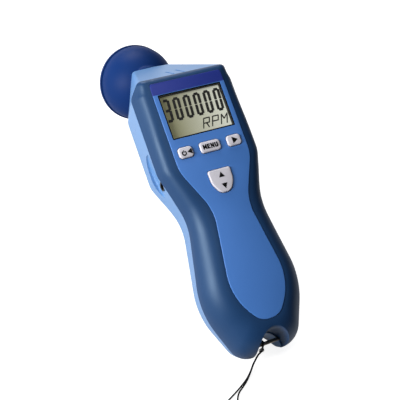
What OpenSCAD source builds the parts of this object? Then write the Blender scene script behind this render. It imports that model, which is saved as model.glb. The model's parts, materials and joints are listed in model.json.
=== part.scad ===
// Pocket stroboscope: a hand-held flashing lamp with a display, four keys and a wrist cord.
// Modules draw in the case's own frame: X to the right, Y up the case from the leg tips,
// Z out of the face. lay() then rests the case on its lamp rim and heel, with +Z up.

/* [Case] */
// Length of the face side, from the leg tips to the front edge of the crown
case_len = 156.4; // [150:0.2:164]
// Half width of the head
head_half = 30.2; // [28:0.1:33]
// Half width at the corner of the waist, before rounding
waist_half = 21.8; // [21:0.1:24]
// Half width at the corner of the grip bulb, before rounding
bulb_half = 30; // [28:0.1:33]
// Depth of the head behind the face
head_depth = 41; // [39:0.2:46]
// Depth of the grip behind the face
grip_depth = 33; // [32.6:0.1:36]
// Depth of the parting line at the head
parting_head = 9.5; // [9:0.1:11]
// Depth of the parting line at the leg tips
parting_foot = 19.6; // [18.6:0.1:21]
// Depth of the parting line at the crown
parting_crown = 3.5; // [3.2:0.1:4.5]
// How far the rear wall draws in from the parting line to the back of the grip
grip_draft = 3.7; // [3:0.1:4.4]
// How far the rear wall draws in from the parting line to the back of the head
head_draft = 4.8; // [4:0.1:5.6]
// Wall thickness of the shells
wall = 2.4; // [1.8:0.1:2.8]
// Slope of the nose away from square to the face, in degrees
nose_angle = 27; // [22:0.5:31]
// Half width of the nose at its ridge
ridge_half = 11.4; // [10.8:0.1:13]

/* [Face] */
// Width of the soft rim beside the face panel at the head
rim_side = 8.7; // [7.5:0.1:10]
// Width of the soft rim above the face panel
rim_top = 3.8; // [3.4:0.1:5]
// Length of the soft rim below the face panel
rim_foot = 16.5; // [16:0.1:17.6]
// Thickness of the face panel
panel_t = 1.3; // [1:0.1:1.6]
// How far the face panel stands proud of the rim
panel_proud = 0.3; // [0.1:0.1:0.6]
// Thickness of the front shell's plate under the panel
plate_t = 1.7; // [1.4:0.1:2]
// Clearance between parts that are fitted and stay put
fit = 0.15; // [0.1:0.01:0.2]

/* [Display] */
// Width of the panel left on each side of the display opening
disp_side = 2.7; // [2.5:0.1:4]
// Height of the display opening
disp_h = 25.5; // [22:0.1:26]
// Gap from the top of the panel to the display opening
disp_drop = 7; // [6.4:0.1:8]
// Width of the black gasket frame seen round the display
gasket_seen = 0.9; // [0.6:0.1:1.4]
// Thickness of the display glass
glass_t = 2.7; // [2.2:0.1:2.8]

/* [Keys] */
// Gap from the side of the panel to the centre of an outer key
key_side = 7.1; // [6.6:0.1:7.6]
// Gap from the display opening to the centre of the key row
key_drop = 8; // [7.8:0.1:9]
// Width of the two outer keys
key_side_w = 8.3; // [7:0.1:9]
// Width of the middle key
key_mid_w = 12; // [10:0.1:13]
// Height of the keys in the row
key_h = 6; // [5:0.1:6.6]
// Width of the shield-shaped rocker key
rocker_w = 13.4; // [11:0.1:15]
// Height of the rocker key
rocker_h = 13; // [12:0.1:14]
// Gap from the centre of the key row to the top of the rocker key
rocker_drop = 13; // [12:0.1:14]
// How far the keys stand above the panel
key_proud = 1; // [0.6:0.1:1.6]
// Travel of a key in the row
key_travel = 0.6; // [0.4:0.05:0.7]
// Clearance round a moving key
key_gap = 0.35; // [0.3:0.05:0.5]

/* [Lamp head] */
// Outer radius of the lamp bell
bell_r = 22; // [20.5:0.1:24]
// Wall of the lamp bell
bell_wall = 1.8; // [1.4:0.1:2.2]
// Distance from the nose ridge to the centre of the bell, along its axis
bell_reach = 23.6; // [22.6:0.1:26]
// Radius of the collar that carries the bell
collar_r = 10.6; // [10.2:0.1:10.8]
// Thickness of the lens
lens_t = 1.9; // [1.5:0.1:2.4]
// How far the lens ring stands outside the bell
lens_ring_lip = 0.6; // [0.3:0.1:1]

/* [Batteries and connections] */
// Diameter of a battery cell
cell_d = 14.5; // [13.5:0.1:14.5]
// Length of a battery cell
cell_len = 50.5; // [49:0.1:51]
// Thickness of the battery door
door_t = 2.2; // [1.8:0.1:2.4]
// Radius of the bore of the lead socket, for a 3.5 mm plug
jack_r = 1.8; // [1.75:0.01:1.9]
// Radius of the tapped hole of the tripod insert, for a quarter-inch screw
tripod_r = 2.6; // [2.5:0.05:3.2]
// Length of the tripod insert
tripod_len = 9; // [7:0.1:10]
// Radius of the case screws
screw_r = 1.2; // [1:0.05:1.3]

/* [Wrist cord] */
// Diameter of the cord
cord_d = 0.9; // [0.8:0.05:1]
// Diameter of the steel bar in the notch
bar_d = 2; // [1.6:0.1:2.2]
// Radius of the notch between the legs
notch_r = 9.6; // [9:0.1:10.6]
// Turns of the put-away cord in each of its two layers
coil_turns = 3.75; // [2.75:0.5:3.75]

/* [Hidden] */
$fn = 64;

// Colours of the finishes
rim_blue = [0.13, 0.22, 0.40];
panel_blue = [0.27, 0.47, 0.75];
shell_blue = [0.50, 0.68, 0.88];
bell_blue = [0.14, 0.25, 0.52];
key_grey = [0.82, 0.80, 0.83];

// Outlines: corners as [x, y, radius] up the right half, from the foot to the crown
arc_steps = 5;
heel_half = 17;
bulb_y = 31;
waist_y = 77;
shoulder_y = case_len - 51.4;
cheek_y = case_len - 7.4;
crown_half = head_half - 4.4;
panel_half = head_half - rim_side;
panel_top = case_len - rim_top;
ridge_y = case_len + (head_depth - parting_crown) * tan(nose_angle);
// The ridge is bowed a little in the middle
ridge_bow = 0.4;
// The cavity ends above the notch, so the heel is solid
cavity_y = rim_foot - 1;

// The case at its parting line
case_corners = [
    [0, 0, 0],
    [heel_half, 0, 12],
    [bulb_half, bulb_y, 45],
    [waist_half, waist_y, 35],
    [head_half, shoulder_y, 18],
    [head_half, cheek_y, 8],
    [crown_half, case_len, 4],
    [0, case_len, 0]
];
// The face panel
panel_corners = [
    [0, rim_foot, 0],
    [5.5, rim_foot, 9.5],
    [bulb_half - 12.5, rim_foot + 15.6, 30],
    [waist_half - 11.5, waist_y + 1.5, 26],
    [panel_half, shoulder_y - 2, 20],
    [panel_half, cheek_y - 2, 4],
    [panel_half - 0.3, panel_top, 1.5],
    [0, panel_top, 0]
];
// The back of the case
back_corners = [
    [0, 2.6, 0],
    [heel_half - 2, 2.6, 10],
    [bulb_half - grip_draft, bulb_y, 40],
    [waist_half - grip_draft, waist_y, 33],
    [head_half - head_draft, shoulder_y + 0.5, 16],
    [head_half - head_draft, cheek_y - 5, 9],
    [ridge_half, ridge_y, 3],
    [0, ridge_y + ridge_bow, 0]
];
// The cavity at the parting line
cavity_corners = [
    [0, cavity_y, 0],
    [12, cavity_y, 6],
    [bulb_half - wall, bulb_y + 4, 40],
    [waist_half - wall, waist_y, 35],
    [head_half - wall, shoulder_y, 18],
    [head_half - wall, cheek_y - 1, 6],
    [crown_half - wall, case_len - wall, 2],
    [0, case_len - wall, 0]
];
// The cavity at the back of the case
pit_corners = [
    [0, cavity_y - 0.3, 0],
    [10, cavity_y, 5],
    [bulb_half - grip_draft - wall, bulb_y + 4, 35],
    [waist_half - grip_draft - wall, waist_y, 33],
    [head_half - head_draft - wall, shoulder_y, 16],
    [head_half - head_draft - wall, cheek_y - 6, 5],
    [ridge_half - wall + 1, ridge_y - wall - 1, 1.5],
    [0, ridge_y - wall - 1 + ridge_bow, 0]
];

// Points of the rounding at corner b between a and c
function corner_arc(a, b, c, r, n) =
    let (
        u = (a - b) / norm(a - b),
        v = (c - b) / norm(c - b),
        half = acos(u * v) / 2,
        centre = b + (u + v) / norm(u + v) * r / sin(half),
        from = b + u * r / tan(half) - centre,
        to = b + v * r / tan(half) - centre,
        start = atan2(from.y, from.x),
        sweep = (atan2(to.y, to.x) - start + 540) % 360 - 180
    )
    [for (k = [0 : n]) centre + r * [cos(start + sweep * k / n), sin(start + sweep * k / n)]];

function flat(p) = [p.x, p.y];

// Closed outline, counter-clockwise, from the corners of its right half
function outline(c) =
    let (
        last = len(c) - 1,
        half = [
            for (i = [0 : last])
                each i == 0 || i == last
                    ? [flat(c[i])]
                    : corner_arc(flat(c[i - 1]), flat(c[i]), flat(c[i + 1]), c[i].z, arc_steps)
        ]
    )
    concat(half, [for (i = [len(half) - 2 : -1 : 1]) [-half[i].x, half[i].y]]);

// An outline moved inwards by d, a number or one number for each point
function inset(ring, d) =
    let (n = len(ring))
    [
        for (i = [0 : n - 1])
            let (t = ring[(i + 1) % n] - ring[(i + n - 1) % n])
            ring[i] - (is_list(d) ? d[i] : d) * [t.y, -t.x] / norm(t)
    ];

function ease(x) = x <= 0 ? 0 : x >= 1 ? 1 : x * x * (3 - 2 * x);
function mix(a, b, f) = a + (b - a) * f;

case_ring = outline(case_corners);
panel_ring = outline(panel_corners);
back_ring = outline(back_corners);
cavity_ring = outline(cavity_corners);
pit_ring = outline(pit_corners);
ring_n = len(case_ring);

// Depth of the parting line and of the back at height y
slope_y = 95;
function parting(y) =
    let (side = parting_head + (parting_foot - parting_head) * max(0, slope_y - y) / slope_y)
    mix(side, parting_crown, ease((y - cheek_y) / (case_len - cheek_y)));
function back(y) = mix(grip_depth, head_depth, ease((y - shoulder_y + 22) / 25));
// Rounding of the edge round the back
function back_round(y) =
    y > cheek_y
        ? mix(6, 2.2, ease((y - cheek_y) / 20))
        : mix(mix(8, 5, ease((y - 4) / 20)), 6, ease((y - shoulder_y + 22) / 25));

// Soft rim: a quarter ellipse from the panel's edge out and down to the parting line
rim_steps = 7;
function rim_curve(outer, top) =
    [
        for (k = [0 : rim_steps])
            let (a = 90 * k / rim_steps)
            [
                for (i = [0 : ring_n - 1])
                    let (
                        p = mix(panel_ring[i], outer[i], sin(a)),
                        z = mix(top, parting(outer[i].y), 1 - cos(a))
                    )
                    [p.x, p.y, -z]
            ]
    ];

// Rear shell: a drawn-in wall from the parting line, then the rounding onto the back
back_steps = 4;
joint_gap = 0.1;
function wall_curve(top, end, cover) =
    let (
        drop = [for (p = end) back(p.y) - cover],
        round = [for (p = end) max(0.8, back_round(p.y) - cover)],
        rest = inset(end, round),
        up = [for (i = [0 : ring_n - 1]) parting(top[i].y) + joint_gap],
        share = [for (i = [0 : ring_n - 1]) 1 - round[i] / (drop[i] - up[i])]
    )
    concat(
        [[for (i = [0 : ring_n - 1]) [top[i].x, top[i].y, -up[i]]]],
        [
            for (k = [0 : back_steps])
                let (b = 90 * k / back_steps)
                [
                    for (i = [0 : ring_n - 1])
                        let (
                            foot = [end[i].x, end[i].y, -drop[i]],
                            knee = mix([top[i].x, top[i].y, -up[i]], foot, share[i]),
                            tip = [rest[i].x, rest[i].y, -back(rest[i].y) + cover]
                        )
                        knee + (foot - knee) * sin(b) + (tip - foot) * (1 - cos(b))
                ]
        ]
    );

// Triangles between rings k0 and k1, split along one diagonal or the other
function band(k0, k1, other = false) =
    [
        for (i = [0 : ring_n - 1])
            let (
                next = (i + 1) % ring_n,
                a = k0 * ring_n + i,
                b = k0 * ring_n + next,
                c = k1 * ring_n + i,
                d = k1 * ring_n + next
            )
            each other ? [[a, b, d], [a, d, c]] : [[a, b, c], [b, d, c]]
    ];

// Rungs between the left and right points of ring k, facing down or up
function ladder(k, down) =
    let (half = ring_n / 2)
    [
        for (i = [0 : half - 1])
            let (
                a = k * ring_n + i,
                b = a + 1,
                c = k * ring_n + (ring_n - i - 1) % ring_n,
                d = k * ring_n + (ring_n - i) % ring_n
            )
            each concat(
                [down ? [a, b, c == b ? d : c] : [c == b ? d : c, b, a]],
                i > 0 && c != b ? [down ? [a, c, d] : [d, c, a]] : []
            )
    ];

function reverse(list) = [for (i = [len(list) - 1 : -1 : 0]) list[i]];
function join(lists) = [for (l = lists) each l];

rim_under = panel_t + plate_t - panel_proud;
rim_skin = concat(rim_curve(case_ring, 0), reverse(rim_curve(cavity_ring, rim_under)));
shell_out = wall_curve(case_ring, back_ring, 0);
shell_in = wall_curve(cavity_ring, pit_ring, wall);

// Levels through the face, from the panel down
panel_z = panel_proud;
plate_z = panel_proud - panel_t;
plate_back = plate_z - plate_t;
key_top = panel_proud + key_proud;
flange_t = 0.9;
flange_z = plate_back - 0.5;
mat_t = 0.6;
mat_z = flange_z - flange_t - key_travel - 0.2;
switch_top = mat_z - mat_t - 0.1;
board_z = -7.8;
board_t = 1.6;
board_back = board_z - board_t;
seat_gap = 0.05;

// Display and keys on the face
disp_top = panel_top - disp_drop;
disp_y = disp_top - disp_h / 2;
key_y = disp_top - disp_h - key_drop;
rocker_top = key_y - rocker_drop;
rocker_pivot_y = rocker_top - rocker_h / 2;
disp_half = panel_half - disp_side;
key_pitch = panel_half - key_side;
pocket_half = disp_half + 1.6;
pocket_h = disp_h + 3.2;
gasket_t = 0.95;
lcd_front = plate_z - gasket_t - seat_gap;
lcd_back = lcd_front - glass_t;
lcd_stand = lcd_back - board_z - 2 * seat_gap;
pocket_low = disp_y - pocket_h / 2;
pocket_high = disp_y + pocket_h / 2;
strip_w = 2;

// Screw posts
post_r = 2.7;
post_x = crown_half - 8.8;
post_y = panel_top - 3;
foot_post_y = rim_foot + 4.3;
posts = [[post_x, post_y], [-post_x, post_y], [0, foot_post_y]];
post_split = -16;
head_sink = 3;

// Board outline
board_top = post_y - post_r - 0.3;
board_low = waist_y + 7.4;
board_half = panel_half + 0.5;
board_shoulder = shoulder_y - 1;

// Battery bay
cell_pitch = cell_d + 0.2;
bay_half = cell_pitch / 2 + cell_d / 2 + 0.3;
cell_foot = foot_post_y + post_r + 6.7;
cell_z = -grip_depth + door_t + 0.3 + cell_d / 2;
spring_len = 4;
tray_wall = 1.2;
tray_foot = cell_foot - spring_len - 0.4;
tray_top = cell_foot + cell_len + 2.4;
tray_roof = cell_z + cell_d / 2 + 0.2;
tray_floor = -grip_depth + 5.4;
door_half = bay_half;
door_foot = tray_foot + 2.4;
door_top = tray_top - 0.6;

// Lead socket on the left side
socket_half = 4.2;
jack_y = max(shoulder_y - socket_half, tray_top + tray_wall + socket_half + 0.5);
jack_z = -parting_head - 5.8;
jack_face = head_half - 3;
recess_half = 6;
recess_lean = 4;

// Lamp axis, parallel to the nose and just under it
axis_drop = collar_r + 0.3;
bell_y = ridge_y - axis_drop * cos(nose_angle) + bell_reach * sin(nose_angle);
bell_z = -head_depth - axis_drop * sin(nose_angle) - bell_reach * cos(nose_angle);
collar_end = -bell_reach + 0.2;
plug_r = collar_r - 1.5;
bore_r = plug_r - 1.5;
bell_in = bell_r - bell_wall;
skirt = 2.5;
sink_flange = -sqrt(bell_in * bell_in - collar_r * collar_r) + 0.4;
sink_t = 1.5;
sink_len = 10;
lens_seat = 1.5;
seal_t = 0.8;
mirror_rim = lens_seat - seal_t - 2 * seat_gap;
led_board_t = 1.5;
led_z = sink_flange + sink_t + led_board_t + 2 * seat_gap;
mirror_foot_r = 4;
mirror_r = bell_in - 0.9;
lens_r = bell_in - 0.2;
ring_r = bell_r + lens_ring_lip;
ring_end = lens_seat + lens_t + 0.1 + 1.5;
ring_edge = 0.5;
// Corner of the lens ring that meets the table, as [radius, place along the axis]
ring_corners = [[ring_r, ring_end - ring_edge], [ring_r - ring_edge, ring_end]];

// Tripod insert and the strap bar
tripod_y = case_len - 30;
insert_r = tripod_r + 2.4;
boss_r = insert_r + 2.5;
bar_y = 5;
bar_z = -parting(bar_y);
bar_reach = 12.4;
notch_y = 1.5;
notch_edge = 2;

// Wrist cord, from the table up, with y counted from the bar. A loop of cord hangs over the bar;
// its two legs run side by side to the put-away coil, which lies on two ties.
cord_route = [
    [-1.9, -1.6, 8.2], [-1.8, -1.8, 6.9], [-2.2, -2.2, 5.8], [-3.4, -2.8, 4.7], [-5.2, -4.2, 3.6],
    [-7.3, -6, 2.5], [-10.1, -8.8, 1.9], [-13.5, -11.5, 1.7], [-17.1, -13.6, 1.4], [-20.9, -15.5, 1],
    [-25, -17.3, 0.6], [-29, -19, 0.6], [-32, -20.2, 0.9], [-35, -20.8, 1.1]
];
return_route = [
    [-0.6, -1.6, 8.2], [-0.6, -1.7, 6.7], [-1.2, -1.9, 5.2], [-2.6, -2.4, 3.9], [-4.4, -3.8, 2.6],
    [-6.7, -5.8, 1.5], [-9.7, -8.8, 0.8], [-13.1, -11.9, 0.5], [-16.7, -14.4, 0.5], [-20.3, -16.6, 0.5],
    [-22.7, -19.3, 0.5], [-24.1, -23, 0.5], [-25, -27, 0.6], [-26, -31, 0.9], [-28.6, -34.6, 1.4],
    [-32, -36.6, 2], [-35, -37, 2.5]
];
cord_r = cord_d / 2;
cord_up = [0.6, -0.5, 0.6];
wrap_r = bar_d / 2 + cord_r + fit;
sleeve_h = 1;
sleeve_t = 0.35;
tie_t = 0.5;
tie_w = 1.5;
coil_middle = [-38, -29];
coil_out = 8.1;
coil_pitch = cord_d + 0.55;
coil_in = coil_out - coil_turns * coil_pitch;
coil_low = tie_t + fit + cord_r;
loop_rings = 24;

// Rest on the table: the case leans until its heel and the lens ring are equally low
function turned_y(p, t) = p.y * cos(t) - p.z * sin(t);
function turned_z(p, t) = p.y * sin(t) + p.z * cos(t);
function on_axis(r, s) =
    [
        0,
        bell_y + s * sin(nose_angle) + r * cos(nose_angle),
        bell_z - s * cos(nose_angle) + r * sin(nose_angle)
    ];
heel_points = join(shell_out);
ring_low = [for (c = ring_corners) on_axis(-c.x, c.y)];
ring_high = [for (c = ring_corners) on_axis(c.x, c.y)];
function low(points, t) = min([for (p = points) turned_z(p, t)]);
function find_lean(a, b, n) =
    let (m = (a + b) / 2)
    n == 0
        ? m
        : low(heel_points, m) < low(ring_low, m) ? find_lean(a, m, n - 1) : find_lean(m, b, n - 1);
lean = find_lean(0, 60, 40);
lift = -low(ring_low, lean);
far_y = max([for (p = ring_high) turned_y(p, lean)]);
near_y = min([for (p = concat(heel_points, join(rim_skin))) turned_y(p, lean)]);
middle_y = (near_y + far_y) / 2;

module lay() {
    translate([0, -middle_y, lift])
        rotate([lean, 0, 0])
            children();
}

// The lamp's own frame: Z along its axis towards the light
module lamp() {
    lay()
        translate([0, bell_y, bell_z])
            rotate([180 + nose_angle, 0, 0])
                children();
}

module slab(points, z, t) {
    translate([0, 0, z - t])
        linear_extrude(t)
            polygon(points);
}

// Plate from z down by t, centred on x = 0
module plate(half, y0, y1, z, t) {
    translate([-half, y0, z - t])
        cube([2 * half, y1 - y0, t]);
}

module rod(p, r, h) {
    translate(p)
        cylinder(r = r, h = h);
}

// Key outlines, grown by d
function key_outline(w, h, d) =
    outline([
        [0, -h / 2 - d, 0],
        [w / 2 + d, -h / 2 - d, 1.8 + d],
        [w / 2 + d, h / 2 + d, 1.8 + d],
        [0, h / 2 + d, 0]
    ]);
function rocker_outline(d) =
    outline([
        [0, -rocker_h / 2 - d, 0],
        [rocker_w * 0.2 + d, -rocker_h / 2 - d, 3 + d],
        [rocker_w * 0.46 + d, -rocker_h * 0.1, 6],
        [rocker_w / 2 + d, rocker_h / 2 + d, 1.3 + d],
        [0, rocker_h / 2 + d, 0]
    ]);
row_keys = [[-key_pitch, key_side_w], [0, key_mid_w], [key_pitch, key_side_w]];

module key_holes(d) {
    for (k = row_keys)
        translate([k.x, key_y, plate_back - 1])
            linear_extrude(10)
                polygon(key_outline(k.y, key_h, d));
    translate([0, rocker_pivot_y, plate_back - 1])
        linear_extrude(10)
            polygon(rocker_outline(d));
}

module notch(edge) {
    translate([0, notch_y, -head_depth])
        cylinder(r = notch_r - edge, h = head_depth + 5);
}

module bar_bed() {
    translate([-bar_reach - 0.3, bar_y, bar_z])
        rotate([0, 90, 0])
            cylinder(d = bar_d + 0.2, h = 2 * bar_reach + 0.6);
}

// Overmoulded soft rim round the face
module grip_rim() {
    n = len(rim_skin);
    color(rim_blue) lay()
        difference() {
            polyhedron(join(rim_skin), join([for (k = [0 : n - 1]) band(k, (k + 1) % n)]));
            notch(0);
            translate([0, notch_y, -6])
                cylinder(r1 = notch_r - 0.6, r2 = notch_r + notch_edge + 0.6, h = 7);
            bar_bed();
        }
}

// Hard front shell: the plate behind the face panel, with the screw posts
module front_shell() {
    color(panel_blue) lay()
        difference() {
            union() {
                slab(inset(panel_ring, fit), plate_z - seat_gap, plate_t - seat_gap);
                for (p = posts)
                    rod([p.x, p.y, post_split + fit], post_r, plate_z - 0.4 - post_split - fit);
            }
            plate(pocket_half, pocket_low, pocket_high, 1, 8);
            key_holes(key_gap);
            for (p = posts)
                rod([p.x, p.y, post_split - 1], screw_r, 10);
        }
}

// Printed face panel, with the openings for the display and keys
module face_panel() {
    color(panel_blue) lay()
        difference() {
            slab(inset(panel_ring, fit), panel_z, panel_t);
            plate(disp_half, disp_top - disp_h, disp_top, 1, 4);
            key_holes(key_gap);
        }
}

module display_window() {
    color([0.85, 0.88, 0.85, 0.4]) lay()
        plate(disp_half - fit, disp_top - disp_h + fit, disp_top - fit, 0, -plate_z - seat_gap);
}

module display_gasket() {
    window_half = disp_half - gasket_seen;
    color([0.06, 0.06, 0.06]) lay()
        difference() {
            plate(pocket_half - fit, pocket_low + fit, pocket_high - fit, plate_z, gasket_t);
            plate(window_half, disp_top - disp_h + gasket_seen, disp_top - gasket_seen, 1, 6);
        }
}

module lcd_glass() {
    color([0.70, 0.70, 0.60]) lay()
        plate(pocket_half - 2 * fit, pocket_low + 2 * fit, pocket_high - 2 * fit, lcd_front, glass_t);
}

module lcd_backlight() {
    h = pocket_h / 2 - 2 * fit - strip_w - 0.5;
    color([0.93, 0.93, 0.90]) lay()
        plate(pocket_half - 3, disp_y - h, disp_y + h, lcd_back - seat_gap, lcd_stand);
}

// Conducting rubber strips between the display glass and the board
module contact_strips() {
    edge = pocket_h / 2 - 2 * fit;
    color([0.80, 0.55, 0.62]) lay()
        for (y = [disp_y - edge, disp_y + edge - strip_w])
            plate(pocket_half - 3, y, y + strip_w, lcd_back - seat_gap, lcd_stand);
}

// Cap of one key with the flange that keeps it under the front shell
module key_cap(points, flange) {
    slab(points, key_top, key_top - flange_z);
    slab(flange, flange_z, flange_t);
}

module row_key(k) {
    color(key_grey) lay()
        translate([k.x, key_y, 0])
            key_cap(key_outline(k.y, key_h, 0), key_outline(k.y, key_h, 0.9));
}

module key_left() { row_key(row_keys[0]); }
module key_menu() { row_key(row_keys[1]); }
module key_right() { row_key(row_keys[2]); }

module key_up_down() {
    color(key_grey) lay()
        translate([0, rocker_pivot_y, 0])
            key_cap(rocker_outline(0), rocker_outline(0.9));
}

// Silicone mat that springs the keys back
module keypad_mat() {
    side = key_pitch + key_side_w / 2 + 0.8;
    low_half = rocker_w / 2 + 2;
    color([0.35, 0.36, 0.38]) lay()
        slab(
            [
                [-low_half, rocker_top - rocker_h - 1],
                [low_half, rocker_top - rocker_h - 1],
                [side, key_y - key_h],
                [side, key_y + key_h / 2 + 1],
                [-side, key_y + key_h / 2 + 1],
                [-side, key_y - key_h]
            ],
            mat_z, mat_t
        );
}

module main_board() {
    low_half = board_half - 4;
    color([0.10, 0.35, 0.20]) lay()
        slab(
            [
                [-low_half, board_low],
                [low_half, board_low],
                [board_half, board_shoulder],
                [board_half, board_top],
                [-board_half, board_top],
                [-board_half, board_shoulder]
            ],
            board_z, board_t
        );
}

switch_half = 3;
rocker_throw = rocker_h / 2 - 3;
switch_places = concat(
    [for (k = row_keys) [k.x, key_y]],
    [for (s = [-1, 1]) [0, rocker_pivot_y + s * rocker_throw]]
);

module key_switches() {
    body_z = switch_top - 0.6;
    color([0.20, 0.20, 0.22]) lay()
        for (p = switch_places) {
            translate([p.x - switch_half, p.y - switch_half, board_z + seat_gap])
                cube([2 * switch_half, 2 * switch_half, body_z - board_z - seat_gap]);
            rod([p.x, p.y, body_z], 1.7, switch_top - body_z);
        }
}

module controller_chip() {
    color([0.12, 0.12, 0.13]) lay()
        translate([-5, disp_y - 5, board_back - seat_gap - 1.3])
            cube([10, 10, 1.3]);
}

// Coil and two capacitors of the flash driver
module driver_parts() {
    color([0.25, 0.22, 0.20]) lay() {
        rod([12, disp_y + 7, board_back - seat_gap - 5], 5, 5);
        for (x = [-15, -8])
            rod([x, disp_y + 8, board_back - seat_gap - 7], 3, 7);
    }
}

// Lead socket: a block on the board with a round nose in the side wall
module jack_socket() {
    body_x = jack_face - 3.9;
    color([0.10, 0.10, 0.11]) lay()
        difference() {
            union() {
                translate([-body_x, jack_y - socket_half, jack_z - 4])
                    cube([10, 2 * socket_half, board_back - seat_gap - jack_z + 4]);
                translate([-jack_face, jack_y, jack_z])
                    rotate([0, 90, 0])
                        cylinder(r = jack_r + 0.8, h = 6);
            }
            translate([-jack_face - 1, jack_y, jack_z])
                rotate([0, 90, 0])
                    cylinder(r = jack_r, h = 13);
        }
}

// Shallow side pocket round the lead socket
module jack_recess() {
    translate([-jack_face - 0.4, jack_y, -parting_head])
        rotate([0, 0, recess_lean])
            translate([-10, 0, 0]) {
                for (y = [0, 14])
                    translate([0, y, -5])
                        rotate([0, 90, 0])
                            cylinder(r = recess_half, h = 10);
                translate([0, 0, -5 - recess_half])
                    cube([10, 14, 2 * recess_half]);
            }
}

// Rear shell with the nose, the bell's collar and the bosses
module rear_shell() {
    n_out = len(shell_out);
    n = n_out + len(shell_in);
    skin = concat(shell_out, reverse(shell_in));
    faces = concat(
        join([for (k = [0 : n - 2]) if (k != n_out - 1) band(k, k + 1)]),
        band(n - 1, 0, true),
        ladder(n_out - 1, true),
        ladder(n_out, false)
    );
    color(shell_blue) lay()
        difference() {
            union() {
                polyhedron(join(skin), faces, convexity = 10);
                for (p = posts)
                    rod([p.x, p.y, -back(p.y) + wall / 2], post_r + 0.8, post_split + back(p.y) - wall / 2);
                rod([0, tripod_y, -head_depth + wall / 2], boss_r, tripod_len);
                translate([0, bell_y, bell_z])
                    rotate([180 + nose_angle, 0, 0])
                        translate([0, 0, collar_end - 9])
                            cylinder(r = collar_r, h = 9);
            }
            translate([0, bell_y, bell_z])
                rotate([180 + nose_angle, 0, 0])
                    translate([0, 0, collar_end - 16])
                        cylinder(r = plug_r + fit, h = 20);
            notch(0.7);
            bar_bed();
            plate(door_half + 0.3, door_foot - 0.3, door_top + 0.3, -grip_depth + wall + 1, wall + 2);
            rod([0, tripod_y, -head_depth - 1], insert_r + seat_gap, tripod_len + 1);
            for (p = posts) {
                rod([p.x, p.y, -back(p.y) - 1], screw_r + 0.3, 40);
                rod([p.x, p.y, -back(p.y) - 1], 2 * screw_r + 0.4, head_sink + 1);
            }
            jack_recess();
            translate([-head_half - 1, jack_y, jack_z])
                rotate([0, 90, 0])
                    cylinder(r = jack_r + 0.95, h = 8);
            // Two slots in the nose that free a snap tongue
            for (x = [-3, 3])
                translate([x, case_len, -parting_crown])
                    rotate([nose_angle, 0, 0])
                        translate([-0.5, -1, -13])
                            cube([1, 4, 12]);
        }
}

// Tub that keeps the cells clear of the electronics
module battery_tray() {
    color([0.55, 0.57, 0.60]) lay()
        difference() {
            plate(
                bay_half + tray_wall, tray_foot - tray_wall, tray_top + tray_wall,
                tray_roof + tray_wall, tray_roof + tray_wall - tray_floor
            );
            plate(bay_half, tray_foot, tray_top, tray_roof, tray_roof - tray_floor + 1);
        }
}

// One cell lying along the grip, with its button at one end
module cell(x, up) {
    y = up ? cell_foot : cell_foot + cell_len;
    color([0.75, 0.62, 0.20]) lay()
        translate([x, y, cell_z])
            rotate([up ? -90 : 90, 0, 0]) {
                cylinder(d = cell_d, h = cell_len - 1);
                translate([0, 0, cell_len - 1])
                    cylinder(r = 2.6, h = 1);
            }
}

module battery_left() { cell(-cell_pitch / 2, true); }
module battery_right() { cell(cell_pitch / 2, false); }

// A round tube of n sides swept along points, with square ends
function tangents(p) =
    [
        for (i = [0 : len(p) - 1])
            let (d = p[min(i + 1, len(p) - 1)] - p[max(i - 1, 0)])
            d / norm(d)
    ];
function tube_rings(p, r, n, up) =
    let (t = tangents(p))
    [
        for (i = [0 : len(p) - 1])
            let (
                side = cross(t[i], up) / norm(cross(t[i], up)),
                over = cross(side, t[i])
            )
            each [for (k = [0 : n - 1]) p[i] + r * (cos(360 * k / n) * side + sin(360 * k / n) * over)]
    ];
module tube(p, r, n, up) {
    m = len(p);
    walls = [
        for (i = [0 : m - 2], k = [0 : n - 1])
            let (j = (k + 1) % n)
            each [
                [i * n + k, (i + 1) * n + k, i * n + j],
                [i * n + j, (i + 1) * n + k, (i + 1) * n + j]
            ]
    ];
    ends = concat(
        [for (k = [1 : n - 2]) [0, k, k + 1]],
        [for (k = [1 : n - 2]) [(m - 1) * n, (m - 1) * n + k + 1, (m - 1) * n + k]]
    );
    polyhedron(tube_rings(p, r, n, up), concat(walls, ends), convexity = 10);
}

// Coil springs that press on the cells' flat ends
spring_turns = 3;
spring_wire = 0.7;
spring_r = 5;
function spring_path(h) =
    [
        for (k = [0 : 8 * spring_turns])
            let (r = spring_r - 1.35 * spring_wire * k / 8)
            [r * cos(45 * k), r * sin(45 * k), spring_wire / 2 + (h - spring_wire) * k / (8 * spring_turns)]
    ];
module battery_springs() {
    h = spring_len - 0.3;
    color("silver") lay() {
        translate([-cell_pitch / 2, tray_foot + 0.35, cell_z])
            rotate([-90, 0, 0])
                tube(spring_path(h), spring_wire / 2, 6, [0, 0, 1]);
        translate([cell_pitch / 2, tray_top - 0.35, cell_z])
            rotate([90, 0, 0])
                tube(spring_path(h - 2.2), spring_wire / 2, 6, [0, 0, 1]);
    }
}

// Contact plates at the two ends of the bay
module battery_contacts() {
    t = 0.3;
    w = cell_d - 3;
    color("silver") lay() {
        translate([-bay_half + 0.4, tray_foot + 0.03, cell_z - w / 2])
            cube([2 * bay_half - 0.8, t, w]);
        for (x = [-1, 1])
            translate([x * cell_pitch / 2 - w / 2, tray_top - 0.03 - t, cell_z - w / 2])
                cube([w, t, w]);
    }
}

module battery_door() {
    color(shell_blue) lay()
        difference() {
            plate(door_half, door_foot, door_top, -grip_depth + door_t, door_t);
            // Thumb scoop at the latch end
            translate([0, door_top - 7, -grip_depth - 3.2])
                sphere(r = 4.2);
        }
}

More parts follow.
